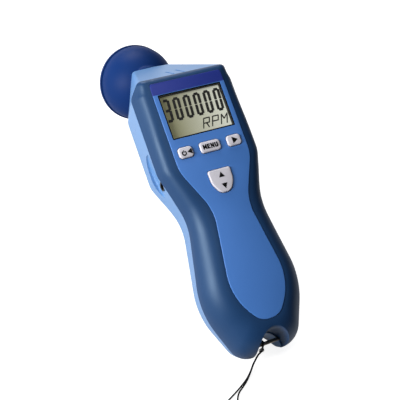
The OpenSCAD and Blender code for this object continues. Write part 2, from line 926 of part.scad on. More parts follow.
// Brass insert with a quarter-inch thread for a tripod
module tripod_insert() {
    color("goldenrod") lay()
        difference() {
            rod([0, tripod_y, -head_depth], insert_r, tripod_len - 0.1);
            rod([0, tripod_y, -head_depth - 1], tripod_r, tripod_len - 0.6);
        }
}

// Countersunk-bore screws that hold the two shells together
module case_screws() {
    color("silver") lay()
        for (p = posts) {
            top = -back(p.y) + head_sink;
            rod([p.x, p.y, top - 1.6], 2 * screw_r, 1.6 - 0.05);
            rod([p.x, p.y, top - 0.05], screw_r - 0.1, post_split - top + 7);
        }
}

module strap_bar() {
    color("silver") lay()
        translate([-bar_reach, bar_y, bar_z])
            rotate([0, 90, 0])
                cylinder(d = bar_d, h = 2 * bar_reach);
}

// Lamp bell: a round shell with a skirt, on a plug that sits in the collar
module lamp_bell() {
    flange_end = -sqrt(bell_r * bell_r - pow(collar_r + 0.8, 2));
    color(bell_blue) lamp()
        rotate_extrude($fn = 96)
            difference() {
                union() {
                    intersection() {
                        circle(r = bell_r, $fn = 128);
                        translate([0, -bell_r])
                            square([bell_r, bell_r]);
                    }
                    square([bell_r, skirt]);
                    translate([0, collar_end + 0.2])
                        square([collar_r + 0.8, flange_end - collar_end]);
                    translate([0, collar_end - 6])
                        square([plug_r, 8]);
                }
                intersection() {
                    circle(r = bell_in, $fn = 128);
                    translate([0, sink_flange - 0.1])
                        square([bell_r, bell_r]);
                }
                square([bell_in, 2 * bell_r]);
                translate([0, -2 * bell_r])
                    square([bore_r, 2 * bell_r]);
            }
}

// Aluminium slug that draws heat from the lamp
module heat_sink() {
    color("lightgrey") lamp() {
        rod([0, 0, sink_flange - sink_len], bore_r - fit, sink_len + 0.1);
        rod([0, 0, sink_flange], collar_r - 1, sink_t);
    }
}

module led_board() {
    color("white") lamp()
        rod([0, 0, sink_flange + sink_t + seat_gap], collar_r - 1.2, led_board_t);
}

module led_emitter() {
    color([0.95, 0.90, 0.45]) lamp() {
        rod([0, 0, led_z], 3, 0.8);
        translate([0, 0, led_z + 0.8])
            difference() {
                sphere(r = 2);
                translate([-3, -3, -6])
                    cube(6);
            }
    }
}

// Bright bowl: a parabola from the lamp to the lens
function square_between(r, a, b) = (r * r - a * a) / (b * b - a * a);
function mirror_s(r) = mix(led_z + 0.3, mirror_rim, square_between(r, mirror_foot_r, mirror_r));
module reflector() {
    steps = 12;
    radii = [for (k = [0 : steps]) mix(mirror_foot_r, mirror_r, k / steps)];
    color("gainsboro") lamp()
        rotate_extrude($fn = 96)
            polygon(concat(
                [for (r = radii) [r, mirror_s(r)]],
                [for (r = reverse(radii)) [r + 0.8, mirror_s(r)]]
            ));
}

module lens_seal() {
    color([0.08, 0.08, 0.08]) lamp()
        difference() {
            rod([0, 0, mirror_rim + seat_gap], lens_r, seal_t);
            rod([0, 0, 0], lens_r - 1.4, 5);
        }
}

module lens() {
    color([0.85, 0.90, 0.95, 0.5]) lamp()
        rod([0, 0, lens_seat], lens_r, lens_t);
}

module lens_ring() {
    seat = lens_seat + lens_t + 0.1;
    color(bell_blue) lamp()
        rotate_extrude($fn = 96)
            polygon([
                [lens_r + 0.2, skirt + 0.1],
                [ring_r, skirt + 0.1],
                ring_corners[0],
                ring_corners[1],
                [lens_r - 1.2, ring_end],
                [lens_r - 1.2, seat],
                [lens_r + 0.2, seat]
            ]);
}

// Inner leads: a curve that leaves a towards b and comes to d from c
lead_r = 0.6;
function bend(a, b, c, d) =
    [
        for (k = [0 : 8])
            let (t = k / 8)
            pow(1 - t, 3) * a + 3 * pow(1 - t, 2) * t * b + 3 * (1 - t) * t * t * c + pow(t, 3) * d
    ];

// Leads from the back of the board to the lamp's heat sink
led_start = [0, board_top - 4.6, board_back - lead_r / 2];
led_end = sink_flange - sink_len - seat_gap;
module led_leads() {
    color([0.75, 0.10, 0.10]) lay()
        for (x = [-2, 2])
            translate([x, 0, 0])
                tube(
                    bend(led_start, led_start - [0, 0, 10], on_axis(0, led_end - 10), on_axis(0, led_end)),
                    lead_r, 8, [1, 0, 0]
                );
}

// Leads that lie on the battery tray and run up under the board
cell_lead_foot = [0, tray_top - 1, tray_roof + tray_wall + lead_r + seat_gap];
cell_lead_end = [0, board_low + 5, board_back - lead_r - seat_gap];
module battery_leads() {
    along = [0, 4, 0];
    color([0.10, 0.10, 0.10]) lay()
        for (x = [-9, 9])
            translate([x, 0, 0])
                tube(
                    bend(cell_lead_foot, cell_lead_foot + along, cell_lead_end - along, cell_lead_end),
                    lead_r, 8, [1, 0, 0]
                );
}

// The cord lies on the table, with y counted from the bar
bar_rest = [0, bar_y, bar_z];
bar_height = turned_z(bar_rest, lean) + lift;
module by_bar() {
    translate([0, turned_y(bar_rest, lean) - middle_y, 0])
        children();
}

// Loop of cord over the bar, from the foot of one leg to the foot of the other
cord_foot = cord_route[0];
return_foot = return_route[0];
hitch_path = concat(
    [cord_foot, mix(cord_foot, [cord_foot.x, -wrap_r, bar_height], 0.5)],
    [
        for (a = [180 : -30 : -30])
            [
                mix(cord_foot.x, return_foot.x, ease((180 - a) / 180)),
                wrap_r * cos(a),
                bar_height + wrap_r * sin(a)
            ]
    ],
    [
        [return_foot.x, 0.6, bar_height - 2.2],
        [return_foot.x, -0.6, bar_height - 2.7],
        [return_foot.x, -1.3, bar_height - 3.1],
        return_foot
    ]
);
module strap_hitch() {
    color([0.06, 0.06, 0.07]) by_bar()
        tube(hitch_path, cord_r, 8, [1, 0, 0]);
}

// Sleeve that holds the two legs together under the bar
function sleeve_outline(d) =
    let (
        a = (return_foot.x - cord_foot.x) / 2 + cord_r + fit + d,
        b = cord_r + 2 * fit + d
    )
    outline([[0, -b, 0], [a, -b, 0.9 * b], [a, b, 0.9 * b], [0, b, 0]]);
module strap_sleeve() {
    color([0.06, 0.06, 0.07]) by_bar()
        translate((cord_foot + return_foot) / 2 - [0, 0, fit + sleeve_h])
            linear_extrude(sleeve_h)
                difference() {
                    polygon(sleeve_outline(sleeve_t));
                    polygon(sleeve_outline(0));
                }
}

// Extra point halfway between each two points, on a smooth curve
function smooth(p) =
    let (last = len(p) - 1)
    [
        for (i = [0 : last])
            each i == last
                ? [p[i]]
                : [p[i], (9 * (p[i] + p[i + 1]) - p[max(i - 1, 0)] - p[min(i + 2, last)]) / 16]
    ];

// Coil: the lower layer winds in, climbs in the half turn where it reverses, and winds out again
function coil_point(turn) =
    let (r = coil_in + coil_pitch * abs(turn - coil_turns))
    [
        coil_middle.x - r * sin(360 * turn),
        coil_middle.y + r * cos(360 * turn),
        coil_low + coil_pitch * ease((turn - coil_turns + 0.25) / 0.5)
    ];
coil_lead = [cord_d, 0, 0];
coil_steps = 2 * coil_turns * loop_rings;
coil_wound = [for (k = [0 : coil_steps]) coil_point(k / loop_rings)];
coil_path = concat([coil_wound[0] + coil_lead], coil_wound, [coil_wound[coil_steps] + coil_lead]);
coil_gap = min([
    for (i = [0 : coil_steps], j = [i + loop_rings / 2 : coil_steps])
        norm(coil_wound[i] - coil_wound[j]) - cord_d
]);
echo(coil_gap = coil_gap);

module strap_cord() {
    color([0.06, 0.06, 0.07]) by_bar()
        tube(smooth(concat(cord_route, [coil_path[0]])), cord_r, 8, cord_up);
}

module strap_return() {
    color([0.06, 0.06, 0.07]) by_bar()
        tube(smooth(concat(return_route, [coil_path[len(coil_path) - 1]])), cord_r, 8, cord_up);
}

module strap_coil() {
    color([0.06, 0.06, 0.07]) by_bar()
        tube(coil_path, cord_r, 6, [0, 0, 1]);
}

// Two ties round the coil, one on each side; it lies on them
module strap_tie() {
    inner = coil_in - cord_r - 2 * fit;
    outer = coil_out + cord_r + 2 * fit;
    high = coil_low + coil_pitch + cord_r + fit;
    color([0.15, 0.15, 0.16]) by_bar()
        for (side = [0, 180])
            translate([coil_middle.x, coil_middle.y, 0])
                rotate([0, 0, side])
                    difference() {
                        translate([inner - tie_t, -tie_w / 2, 0])
                            cube([outer - inner + 2 * tie_t, tie_w, high + tie_t]);
                        translate([inner, -tie_w, tie_t])
                            cube([outer - inner, 2 * tie_w, high - tie_t]);
                    }
}

grip_rim();
front_shell();
face_panel();
display_window();
display_gasket();
lcd_glass();
lcd_backlight();
contact_strips();
key_left();
key_menu();
key_right();
key_up_down();
keypad_mat();
main_board();
key_switches();
controller_chip();
driver_parts();
jack_socket();
rear_shell();
battery_tray();
battery_left();
battery_right();
battery_springs();
battery_contacts();
battery_leads();
battery_door();
tripod_insert();
case_screws();
strap_bar();
lamp_bell();
heat_sink();
led_board();
led_emitter();
reflector();
lens_seal();
lens();
lens_ring();
led_leads();
strap_hitch();
strap_sleeve();
strap_cord();
strap_coil();
strap_return();
strap_tie();
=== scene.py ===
import json

import bpy
import numpy as np
from mathutils import Matrix


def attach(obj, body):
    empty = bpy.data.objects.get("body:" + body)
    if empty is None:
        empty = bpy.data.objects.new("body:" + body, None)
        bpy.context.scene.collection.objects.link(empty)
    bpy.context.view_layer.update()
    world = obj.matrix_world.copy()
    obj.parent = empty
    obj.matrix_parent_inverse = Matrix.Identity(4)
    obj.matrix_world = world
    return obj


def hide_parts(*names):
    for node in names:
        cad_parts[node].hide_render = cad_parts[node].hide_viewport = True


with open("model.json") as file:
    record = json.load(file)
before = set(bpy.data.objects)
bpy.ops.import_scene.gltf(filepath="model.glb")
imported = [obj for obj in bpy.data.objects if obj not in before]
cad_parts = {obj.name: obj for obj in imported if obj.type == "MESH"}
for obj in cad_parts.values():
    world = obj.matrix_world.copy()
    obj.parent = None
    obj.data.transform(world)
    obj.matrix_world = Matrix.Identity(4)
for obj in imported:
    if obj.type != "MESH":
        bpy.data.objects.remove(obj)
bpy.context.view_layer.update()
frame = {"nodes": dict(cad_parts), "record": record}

# Case at rest: it lies on its heel and on the rim of its lamp, so its face leans. Millimetres in the
# case's own frame are X to the right, Y up the case from the leg tips and Z out of the face.
# The tripod socket, whose place in the case is known, gives the lean and the place on the table.
tripod_y, tripod_z = 126.4, -37.3
socket = next(m for m in frame["record"]["mounts"] if m["name"] == "tripod_socket")
lean = np.arctan2(socket["axis"][1], -socket["axis"][2])
case_turn = np.array([
    [1, 0, 0],
    [0, np.cos(lean), -np.sin(lean)],
    [0, np.sin(lean), np.cos(lean)],
])
case_origin = np.array(socket["pos_m"]) - case_turn @ np.array([0, tripod_y, tripod_z]) / 1000


def on_table(points):
    """Points of the case in millimetres, leaned and moved to where they rest, in metres."""
    return np.asarray(points, float) @ case_turn.T / 1000 + case_origin


# Camera: about 47 cm from the case, above its left side, with a long lens. Its axes and its place are
# given in the case's own frame.
camera_axes = np.array([[0.8853, -0.33, 0.3277], [0.2524, 0.9328, 0.2575], [-0.3906, -0.1452, 0.909]])
camera_place = [-198.06, 18.03, 424.58]
camera_data = bpy.data.cameras.new("camera")
camera_data.lens = 81
camera_data.sensor_width = 36
camera_data.clip_start = 0.01
camera = bpy.data.objects.new("camera", camera_data)
placed = np.eye(4)
placed[:3, :3] = case_turn @ camera_axes.T
placed[:3, 3] = on_table(camera_place)
camera.matrix_world = Matrix(placed.tolist())
bpy.context.scene.collection.objects.link(camera)
bpy.context.scene.camera = camera

# Wrist cord: thin braided nylon. A loop of it hitches over the steel bar, a whipping of thread holds
# its two legs together, and the length that isn't needed lies wound in a coil, on two ties.
cord_radius = 0.45
bar_place = [0, 5, -19.0684]
bar_at = on_table(bar_place) * 1000
cord_leg = np.array([
    [-1.9, -1.6, 8.2], [-1.8, -1.8, 6.9], [-2.2, -2.2, 5.8], [-3.4, -2.8, 4.7], [-5.2, -4.2, 3.6],
    [-7.3, -6, 2.5], [-10.1, -8.8, 1.9], [-13.5, -11.5, 1.7], [-17.1, -13.6, 1.4], [-20.9, -15.5, 1],
    [-25, -17.3, 0.6], [-29, -19, 0.6], [-32, -20.2, 0.9], [-35, -20.8, 1.1],
])
return_leg = np.array([
    [-0.6, -1.6, 8.2], [-0.6, -1.7, 6.7], [-1.2, -1.9, 5.2], [-2.6, -2.4, 3.9], [-4.4, -3.8, 2.6],
    [-6.7, -5.8, 1.5], [-9.7, -8.8, 0.8], [-13.1, -11.9, 0.5], [-16.7, -14.4, 0.5], [-20.3, -16.6, 0.5],
    [-22.7, -19.3, 0.5], [-24.1, -23, 0.5], [-25, -27, 0.6], [-26, -31, 0.9], [-28.6, -34.6, 1.4],
    [-32, -36.6, 2], [-35, -37, 2.5],
])
coil_turns, coil_pitch, coil_low, coil_outer = 3.75, 1.45, 1.1, 8.1
coil_inner = coil_outer - coil_turns * coil_pitch
coil_centre = np.array([-38, -29])


def eased(x):
    """Smooth step from 0 to 1: 3 x squared less 2 x cubed."""
    x = np.clip(x, 0, 1)
    return x * x * (3 - 2 * x)


def coiled(turn):
    """Flat coil of two layers: the radius shrinks by a pitch a turn to the middle of the winding and
    grows again after it, and the height rises by a pitch in the half turn about that middle."""
    radius = coil_inner + coil_pitch * np.abs(turn - coil_turns)
    angle = 2 * np.pi * turn
    return np.stack([
        coil_centre[0] - radius * np.sin(angle),
        coil_centre[1] + radius * np.cos(angle),
        coil_low + coil_pitch * eased((turn - coil_turns + 0.25) / 0.5),
    ], axis=-1)


def smoothed(points, per):
    """Catmull-Rom curve: between each two points the cubic through them whose slopes are half the
    step from the point before to the point after, sampled per times."""
    ends = np.concatenate([[2 * points[0] - points[1]], points, [2 * points[-1] - points[-2]]])
    a, b, c, d = ends[:-3, None], ends[1:-2, None], ends[2:-1, None], ends[3:, None]
    t = np.linspace(0, 1, per, endpoint=False)[None, :, None]
    slope, curve, twist = (c - a) / 2, a - 2.5 * b + 2 * c - d / 2, 1.5 * (b - c) + (d - a) / 2
    cubic = b + t * slope + t * t * curve + t ** 3 * twist
    return np.concatenate([cubic.reshape(-1, 3), points[-1:]])


def directions(vectors):
    """The same vectors, each divided by its length."""
    return vectors / np.linalg.norm(vectors, axis=-1, keepdims=True)


def tube_grid(path, radius, sides, up):
    """Circle carried along a path: at each point it lies across the path's direction, and up says
    where it starts."""
    ahead = directions(np.gradient(path, axis=0))
    side = directions(np.cross(ahead, up))
    over = np.cross(side, ahead)
    angle = np.linspace(0, 2 * np.pi, sides, endpoint=False)
    return path[:, None] + radius * (
        np.cos(angle)[None, :, None] * side[:, None] + np.sin(angle)[None, :, None] * over[:, None]
    )


def add_mesh(name, points, faces):
    """A new piece in the scene, from points in metres in the row frame and the corners of its faces."""
    mesh = bpy.data.meshes.new(name)
    mesh.from_pydata(points.tolist(), [], faces)
    piece = bpy.data.objects.new(name, mesh)
    bpy.context.scene.collection.objects.link(piece)
    return piece


def volume(points, faces):
    """Six times the volume within faces: each face is a fan of triangles from its first corner, and the
    triple products of the triangles' corners are summed."""
    first, *others = points[faces].transpose(1, 0, 2)
    return sum((first * np.cross(b, c)).sum() for b, c in zip(others, others[1:]))


def add_surface(name, grid, loop_rows=False, caps=True, smooth=40, uv=None):
    """Quads between neighbouring points of a grid of rings, each ring closed on itself. The rows close
    into a loop, or their ends close with a fan to the middle of the end ring, or with rungs between its
    left and right halves and a fan over each flat end. If the volume comes out negative, the faces are
    turned, so that they point outwards."""
    rows, sides = grid.shape[:2]
    points = grid.reshape(-1, 3)
    index = np.arange(rows * sides).reshape(rows, sides)
    last = rows if loop_rows else rows - 1
    here, there = index[:last], np.roll(index, -1, axis=0)[:last]
    quads = np.stack([here, np.roll(here, -1, 1), np.roll(there, -1, 1), there], axis=-1).reshape(-1, 4)
    fans = np.empty((0, 3), int)
    if caps == "rungs":
        half, flat = sides // 2, 1e-6
        for ring in (np.roll(index[0][::-1], 1), index[-1]):
            axis = points[ring[half]] - points[ring[0]]
            along = (points[ring[:half + 1]] - points[ring[0]]) @ axis / np.linalg.norm(axis)
            inner = np.flatnonzero((along > flat) & (along < along[half] - flat))
            low, high = inner[0], inner[-1]
            step = np.arange(low, high)
            rungs = np.stack([ring[step], ring[step + 1], ring[-step - 1], ring[-step]], axis=-1)
            quads = np.concatenate([quads, rungs])
            for hub, run in ((-low, ring[np.arange(1 - low, low + 1)]), (-high, ring[high:sides - high])):
                hubs = np.full(len(run) - 1, ring[hub])
                fans = np.concatenate([fans, np.stack([hubs, run[:-1], run[1:]], axis=-1)])
    elif caps and not loop_rows:
        points = np.concatenate([points, grid[[0, -1]].mean(axis=1)])
        low, high = index[0], index[-1]
        fans = np.concatenate([
            np.stack([np.roll(low, -1), low, np.full(sides, rows * sides)], axis=-1),
            np.stack([high, np.roll(high, -1), np.full(sides, rows * sides + 1)], axis=-1),
        ])
    if volume(points, quads) + volume(points, fans) < 0:
        quads, fans = quads[:, ::-1], fans[:, ::-1]
    piece = add_mesh(name, points, quads.tolist() + fans.tolist())
    if uv is not None:
        mesh = piece.data
        layer = mesh.uv_layers.new(name="run")
        loops = np.empty(len(mesh.loops), np.int32)
        mesh.loops.foreach_get("vertex_index", loops)
        layer.data.foreach_set("uv", uv[np.minimum(loops, len(uv) - 1)].astype(np.float32).ravel())
    soften(piece, smooth)
    return piece


def soften(piece, angle):
    """Smooth shading over the piece, with edges sharper than the angle in degrees left crisp."""
    mesh = piece.data
    mesh.polygons.foreach_set("use_smooth", np.ones(len(mesh.polygons), bool))
    mesh.set_sharp_from_angle(angle=np.radians(angle))
    mesh.update()


def shade(red, green, blue):
    """A colour given as it looks on a screen, 0 to 255, as the linear colour that a shader takes."""
    c = np.array([red, green, blue]) / 255
    return [*np.where(c <= 0.04045, c / 12.92, ((c + 0.055) / 1.055) ** 2.4), 1.0]


def add_node(tree, kind, constants=None, **settings):
    """A new shader node with its settings, and with constants on its inputs."""
    node = tree.nodes.new("ShaderNode" + kind)
    for name, value in settings.items():
        setattr(node, name, value)
    for socket, value in (constants or {}).items():
        node.inputs[socket].default_value = value
    return node


def join_nodes(tree, *links):
    """Links outputs to inputs, each given as (node, socket, node, socket)."""
    for a, out, b, into in links:
        tree.links.new(a.outputs[out], b.inputs[into])


def two_tone(tree, dark, light):
    """A ramp between two colours, each given as it looks on a screen."""
    ramp = add_node(tree, "ValToRGB")
    ramp.color_ramp.elements[0].color = shade(*dark)
    ramp.color_ramp.elements[1].color = shade(*light)
    return ramp


def new_finish(name, rough, metallic=0.0, specular=0.5, bump=0.0, depth=0.0001):
    """A material with its shader and bump node: returns the material, its tree, shader and bump."""
    material = bpy.data.materials.new(name)
    material.use_nodes = True
    tree = material.node_tree
    shader = tree.nodes["Principled BSDF"]
    for socket, value in (("Roughness", rough), ("Metallic", metallic), ("Specular IOR Level", specular)):
        shader.inputs[socket].default_value = value
    bumps = add_node(tree, "Bump", {"Strength": bump, "Distance": depth})
    join_nodes(tree, (bumps, "Normal", shader, "Normal"))
    return material, tree, shader, bumps


# Braid: black nylon. Two sets of strands cross in a diagonal pattern along the cord's own length and turn,
# which the tube carries as its UV map.
braid, tree, shader, bumps = new_finish("black_braid", 0.55, specular=0.3, bump=0.6, depth=0.00008)
braid_strands, braid_rows = 4, 1600
run = add_node(tree, "UVMap", uv_map="run")
crossed = add_node(tree, "Math", operation="MAXIMUM")
for number, way in enumerate((1, -1)):
    spread = add_node(tree, "Mapping", {"Scale": (braid_strands * way, braid_rows, 1)})
    slant = add_node(tree, "TexWave", {"Scale": 1.0}, wave_type="BANDS", bands_direction="DIAGONAL")
    join_nodes(
        tree, (run, "UV", spread, "Vector"), (spread, "Vector", slant, "Vector"),
        (slant, "Fac", crossed, number),
    )
strand = two_tone(tree, (6, 6, 7), (20, 20, 24))
join_nodes(
    tree, (crossed, "Value", strand, "Fac"), (strand, "Color", shader, "Base Color"),
    (crossed, "Value", bumps, "Height"),
)


def fasten(piece, material, body, slot, *nodes):
    """Gives a piece its material and the body it rides on, and hides the CAD nodes it replaces, if any. The
    slot is not used.
    """
    piece.data.materials.append(material)
    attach(piece, body)
    if nodes:
        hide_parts(*nodes)


def by_bar(points):
    """Cord points, in millimetres with y counted from the bar and z from the table, in metres."""
    return (np.asarray(points, float) + [0, bar_at[1], 0]) / 1000


def add_cord(name, path, radius, sides, up, *nodes):
    """A length of cord along a path. Its UV map holds the turn about the cord, from 0 to 1, and the
    length along it in metres."""
    along = np.concatenate([[0], np.cumsum(np.linalg.norm(np.diff(path, axis=0), axis=1))]) / 1000
    around = np.arange(sides) / sides
    uv = np.stack(np.broadcast_arrays(around[None, :], along[:, None]), axis=-1).reshape(-1, 2)
    piece = add_surface(name, by_bar(tube_grid(path, radius, sides, up)), uv=uv)
    fasten(piece, braid, "case", "black_cord", *nodes)
    return piece


coil_steps = 48
coil = coiled(np.arange(0, 2 * coil_turns * coil_steps + 1) / coil_steps)
coil_ends = coil[[0, -1]] + [[0.9, 0, 0]]
there = smoothed(np.concatenate([cord_leg, coil_ends[:1]]), 6)
back_again = smoothed(np.concatenate([return_leg, coil_ends[1:]]), 6)[::-1]
cord_path = np.concatenate([there, coil, back_again])
cord = add_cord("wrist_cord", cord_path, cord_radius, 14, [0.6, -0.5, 0.6])

# Hitch: the upper ends of the cord's two legs, which make one loop of the same braid over the steel bar.
# Its path runs up from one leg, round the bar and back down to the other.
wrap = 1.6
turn = np.radians(np.arange(180, -31, -15))
leg_x, return_x = cord_leg[0, 0], return_leg[0, 0]
hitch_points = np.concatenate([
    [cord_leg[0], (cord_leg[0] + [leg_x, -wrap, bar_at[2]]) / 2],
    np.stack([
        leg_x + (return_x - leg_x) * eased((np.pi - turn) / np.pi),
        wrap * np.cos(turn),
        bar_at[2] + wrap * np.sin(turn),
    ], axis=-1),
    [[return_x, y, bar_at[2] - fall] for y, fall in ((0.6, 2.2), (-0.6, 2.7), (-1.3, 3.1))],
    return_leg[:1],
])
add_cord("cord_hitch", smoothed(hitch_points, 5), cord_radius, 14, [1, 0, 0], "strap_hitch")

# Whipping: black thread wound in close turns round both legs, just under the bar, so that they stay
# together. Its path is a helix on a squared oval.
whip_turns, whip_r, whip_x, whip_y, whip_fall = 4, 0.13, 1.36, 0.86, 0.7
whip_angle = np.linspace(0, 2 * np.pi * whip_turns, 48 * whip_turns + 1)
middle = (cord_leg[0] + return_leg[0]) / 2
squared = (np.abs(np.cos(whip_angle)) ** 3 + np.abs(np.sin(whip_angle)) ** 3) ** (-1 / 3)
whip_path = np.stack([
    middle[0] + whip_x * squared * np.cos(whip_angle),
    middle[1] + whip_y * squared * np.sin(whip_angle),
    middle[2] - 0.3 - whip_fall * whip_angle / whip_angle[-1],
], axis=-1)
whipping = add_cord("cord_whipping", whip_path, whip_r, 8, [0, 0, 1], "strap_sleeve")

# Ties: two loops of soft grey woven band, one on each side of the coil, that keep it wound. Each is a flat
# section carried round a rounded rectangle.
tie_half, tie_wide, tie_gap = 0.25, 0.75, 0.15
tie_low, tie_high = tie_half, coil_low + coil_pitch + cord_radius + tie_gap + tie_half
tie_in = coil_inner - cord_radius - 2 * tie_gap - tie_half
tie_out = coil_outer + cord_radius + 2 * tie_gap + tie_half
tie_band, tree, shader, bumps = new_finish("grey_band", 0.7, specular=0.25, bump=0.4, depth=0.00005)
place = add_node(tree, "TexCoord")
weave = add_node(tree, "TexNoise", {"Scale": 2500})
greys = two_tone(tree, (58, 58, 62), (96, 96, 102))
join_nodes(
    tree, (place, "Object", weave, "Vector"), (weave, "Fac", greys, "Fac"),
    (greys, "Color", shader, "Base Color"), (weave, "Fac", bumps, "Height"),
)
loop = np.linspace(0, 2 * np.pi, 72, endpoint=False)
rounded = (np.abs(np.cos(loop)) ** 8 + np.abs(np.sin(loop)) ** 8) ** (-1 / 8)
across = np.stack([rounded * np.cos(loop), rounded * np.sin(loop)], axis=-1)
section = np.array([[-1, -1], [1, -1], [1, 1], [-1, 1]]) * [tie_half, tie_wide]
half = np.array([(tie_out - tie_in) / 2, (tie_high - tie_low) / 2])
ring = across[:, None] * (half + section[:, :1])
for side, name in ((1, "coil_tie_right"), (-1, "coil_tie_left")):
    tie_points = np.stack([
        coil_centre[0] + side * ((tie_in + tie_out) / 2 + ring[..., 0]),
        coil_centre[1] + np.broadcast_to(section[:, 1], ring.shape[:2]),
        (tie_low + tie_high) / 2 + ring[..., 1],
    ], axis=-1)
    tie = add_surface(name, by_bar(tie_points), loop_rows=True, smooth=50)
    tie.modifiers.new("edge", "BEVEL").width = 0.00008
    fasten(tie, tie_band, "case", "tie_grey")
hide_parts("strap_tie")
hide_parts("strap_cord", "strap_coil", "strap_return")

# Floor and light: a plain pale floor that shows white to the camera and keeps the case's soft shadow, a
# long soft lamp on the left that draws the sheen down the grip, weaker ones behind and above, and a dim
# room.
floor = add_mesh("floor", 3.0 * np.array([[-1, -1, 0], [1, -1, 0], [1, 1, 0], [-1, 1, 0]]), [[0, 1, 2, 3]])
paper = bpy.data.materials.new("pale_paper")
paper.use_nodes = True
tree = paper.node_tree
tree.nodes.clear()
seen = add_node(tree, "LightPath")
either = add_node(tree, "Math", operation="MAXIMUM")
faint = add_node(tree, "Math", {1: 0.3}, operation="MULTIPLY")
level = add_node(tree, "Math", {1: 0.88}, operation="MULTIPLY_ADD")
matt = add_node(tree, "BsdfDiffuse", {"Color": (0.5, 0.5, 0.5, 1)})
glow, both, out = [add_node(tree, kind) for kind in ("Emission", "AddShader", "OutputMaterial")]
join_nodes(
    tree, (seen, "Is Camera Ray", either, 0), (seen, "Is Transmission Ray", either, 1),
    (seen, "Is Glossy Ray", faint, 0), (faint, 0, level, 2), (either, 0, level, 0),
    (level, 0, glow, "Strength"), (matt, 0, both, 0), (glow, 0, both, 1), (both, 0, out, "Surface"),
)
floor.data.materials.append(paper)

room = bpy.data.worlds.new("room")
room.use_nodes = True
tree = room.node_tree
sky = tree.nodes["Background"]
sky.inputs["Color"].default_value = (0.96, 0.98, 1.0, 1)
seen = add_node(tree, "LightPath")
level = add_node(tree, "Math", {1: 0.97, 2: 0.03}, operation="MULTIPLY_ADD")
join_nodes(tree, (seen, "Is Camera Ray", level, 0), (level, 0, sky, "Strength"))
bpy.context.scene.world = room


def add_lamp(name, place, aim, width, height, power):
    """A soft rectangular lamp at a place, turned to face the point that it lights."""
    data = bpy.data.lights.new(name, "AREA")
    data.shape = "RECTANGLE"
    data.size, data.size_y, data.energy = width, height, power
    ahead = directions(np.array(aim, float) - place)
    side = directions(np.cross(ahead, [0, 0, 1]))
    pose = np.eye(4)
    pose[:3, :3] = np.stack([side, np.cross(side, ahead), -ahead], axis=1)
    pose[:3, 3] = place
    lamp = bpy.data.objects.new(name, data)
    lamp.matrix_world = Matrix(pose.tolist())
    bpy.context.scene.collection.objects.link(lamp)


lit = [0, 0, 0.04]
add_lamp("lamp_left", [-0.90, 0.02, 0.44], lit, 0.35, 0.5, 14.5)
add_lamp("lamp_behind", [0.05, 0.90, 0.47], lit, 0.5, 0.35, 6.5)
add_lamp("lamp_above", [0.05, 0.02, 1.04], lit, 0.35, 0.5, 1.6)

# Soft rim: blue rubber moulded over the front shell, a rounded lip all round the face that falls to the
# parting line, with a finely etched satin skin. A round notch between the two legs clears the strap bar.
case_len, cheek_y, shoulder_y, waist_y, bulb_y = 156.4, 149.0, 105.0, 77.0, 31.0
head_half, waist_half, bulb_half, panel_half = 30.2, 21.8, 30.0, 21.5
wall, notch_y, notch_r = 2.4, 1.5, 9.6
parting_head, parting_drop, parting_crown, grip_top = 9.5, 10.1, 3.5, 95
case_corners = [
    [0, 0, 0], [17, 0, 12], [bulb_half, bulb_y, 45], [waist_half, waist_y, 35],
    [head_half, shoulder_y, 18], [head_half, cheek_y, 8], [25.8, case_len, 4], [0, case_len, 0],
]
panel_corners = [
    [0, 16.5, 0], [5.5, 16.5, 9.5], [bulb_half - 12.5, 32.1, 30], [waist_half - 11.5, waist_y + 1.5, 26],
    [panel_half, shoulder_y - 2, 20], [panel_half, cheek_y - 2, 4], [panel_half - 0.3, 152.6, 1.5],
    [0, 152.6, 0],
]
cavity_corners = [
    [0, 15.5, 0], [12, 15.5, 6], [bulb_half - wall, bulb_y + 4, 40], [waist_half - wall, waist_y, 35],
    [head_half - wall, shoulder_y, 18], [head_half - wall, cheek_y - 1, 6], [23.4, 154, 2], [0, 154, 0],
]


def outline(corners, arc=16, run=5):
    """Closed ring from the corners of its right half, given as x, y and radius from foot to crown. Each
    corner becomes an arc that touches both its sides, each straight is cut into equal runs, and the
    left half mirrors the right."""
    corners = np.array(corners, float)
    place, radius = corners[:, :2], corners[1:-1, 2:]
    before = directions(place[:-2] - place[1:-1])
    after = directions(place[2:] - place[1:-1])
    half = np.arccos((before * after).sum(axis=1, keepdims=True)) / 2
    middle = place[1:-1] + directions(before + after) * radius / np.sin(half)
    first = place[1:-1] + before * radius / np.tan(half) - middle
    second = place[1:-1] + after * radius / np.tan(half) - middle
    start = np.arctan2(first[:, 1], first[:, 0])[:, None]
    sweep = (np.arctan2(second[:, 1], second[:, 0])[:, None] - start + 3 * np.pi) % (2 * np.pi) - np.pi
    angle = start + sweep * np.linspace(0, 1, arc + 1)
    arcs = middle[:, None] + radius[:, None] * np.stack([np.cos(angle), np.sin(angle)], axis=-1)
    starts = np.concatenate([place[:1], arcs[:, -1]])
    ends = np.concatenate([arcs[:, 0], place[-1:]])
    runs = starts[:, None] + (ends - starts)[:, None] * np.linspace(0, 1, run, endpoint=False)[:, None]
    pairs = np.concatenate([runs[:-1], arcs[:, :-1]], axis=1).reshape(-1, 2)
    right = np.concatenate([pairs, runs[-1], place[-1:]])
    return np.concatenate([right, right[-2:0:-1] * [-1, 1]])


def parting(y):
    """Depth of the line where the two shells meet: level along the head, sloping away below it, and
    easing up to the crown."""
    side = parting_head + parting_drop * np.maximum(0, grip_top - y) / grip_top
    return side + (parting_crown - side) * eased((y - cheek_y) / (case_len - cheek_y))


case_ring, panel_ring, cavity_ring = outline(case_corners), outline(panel_corners), outline(cavity_corners)


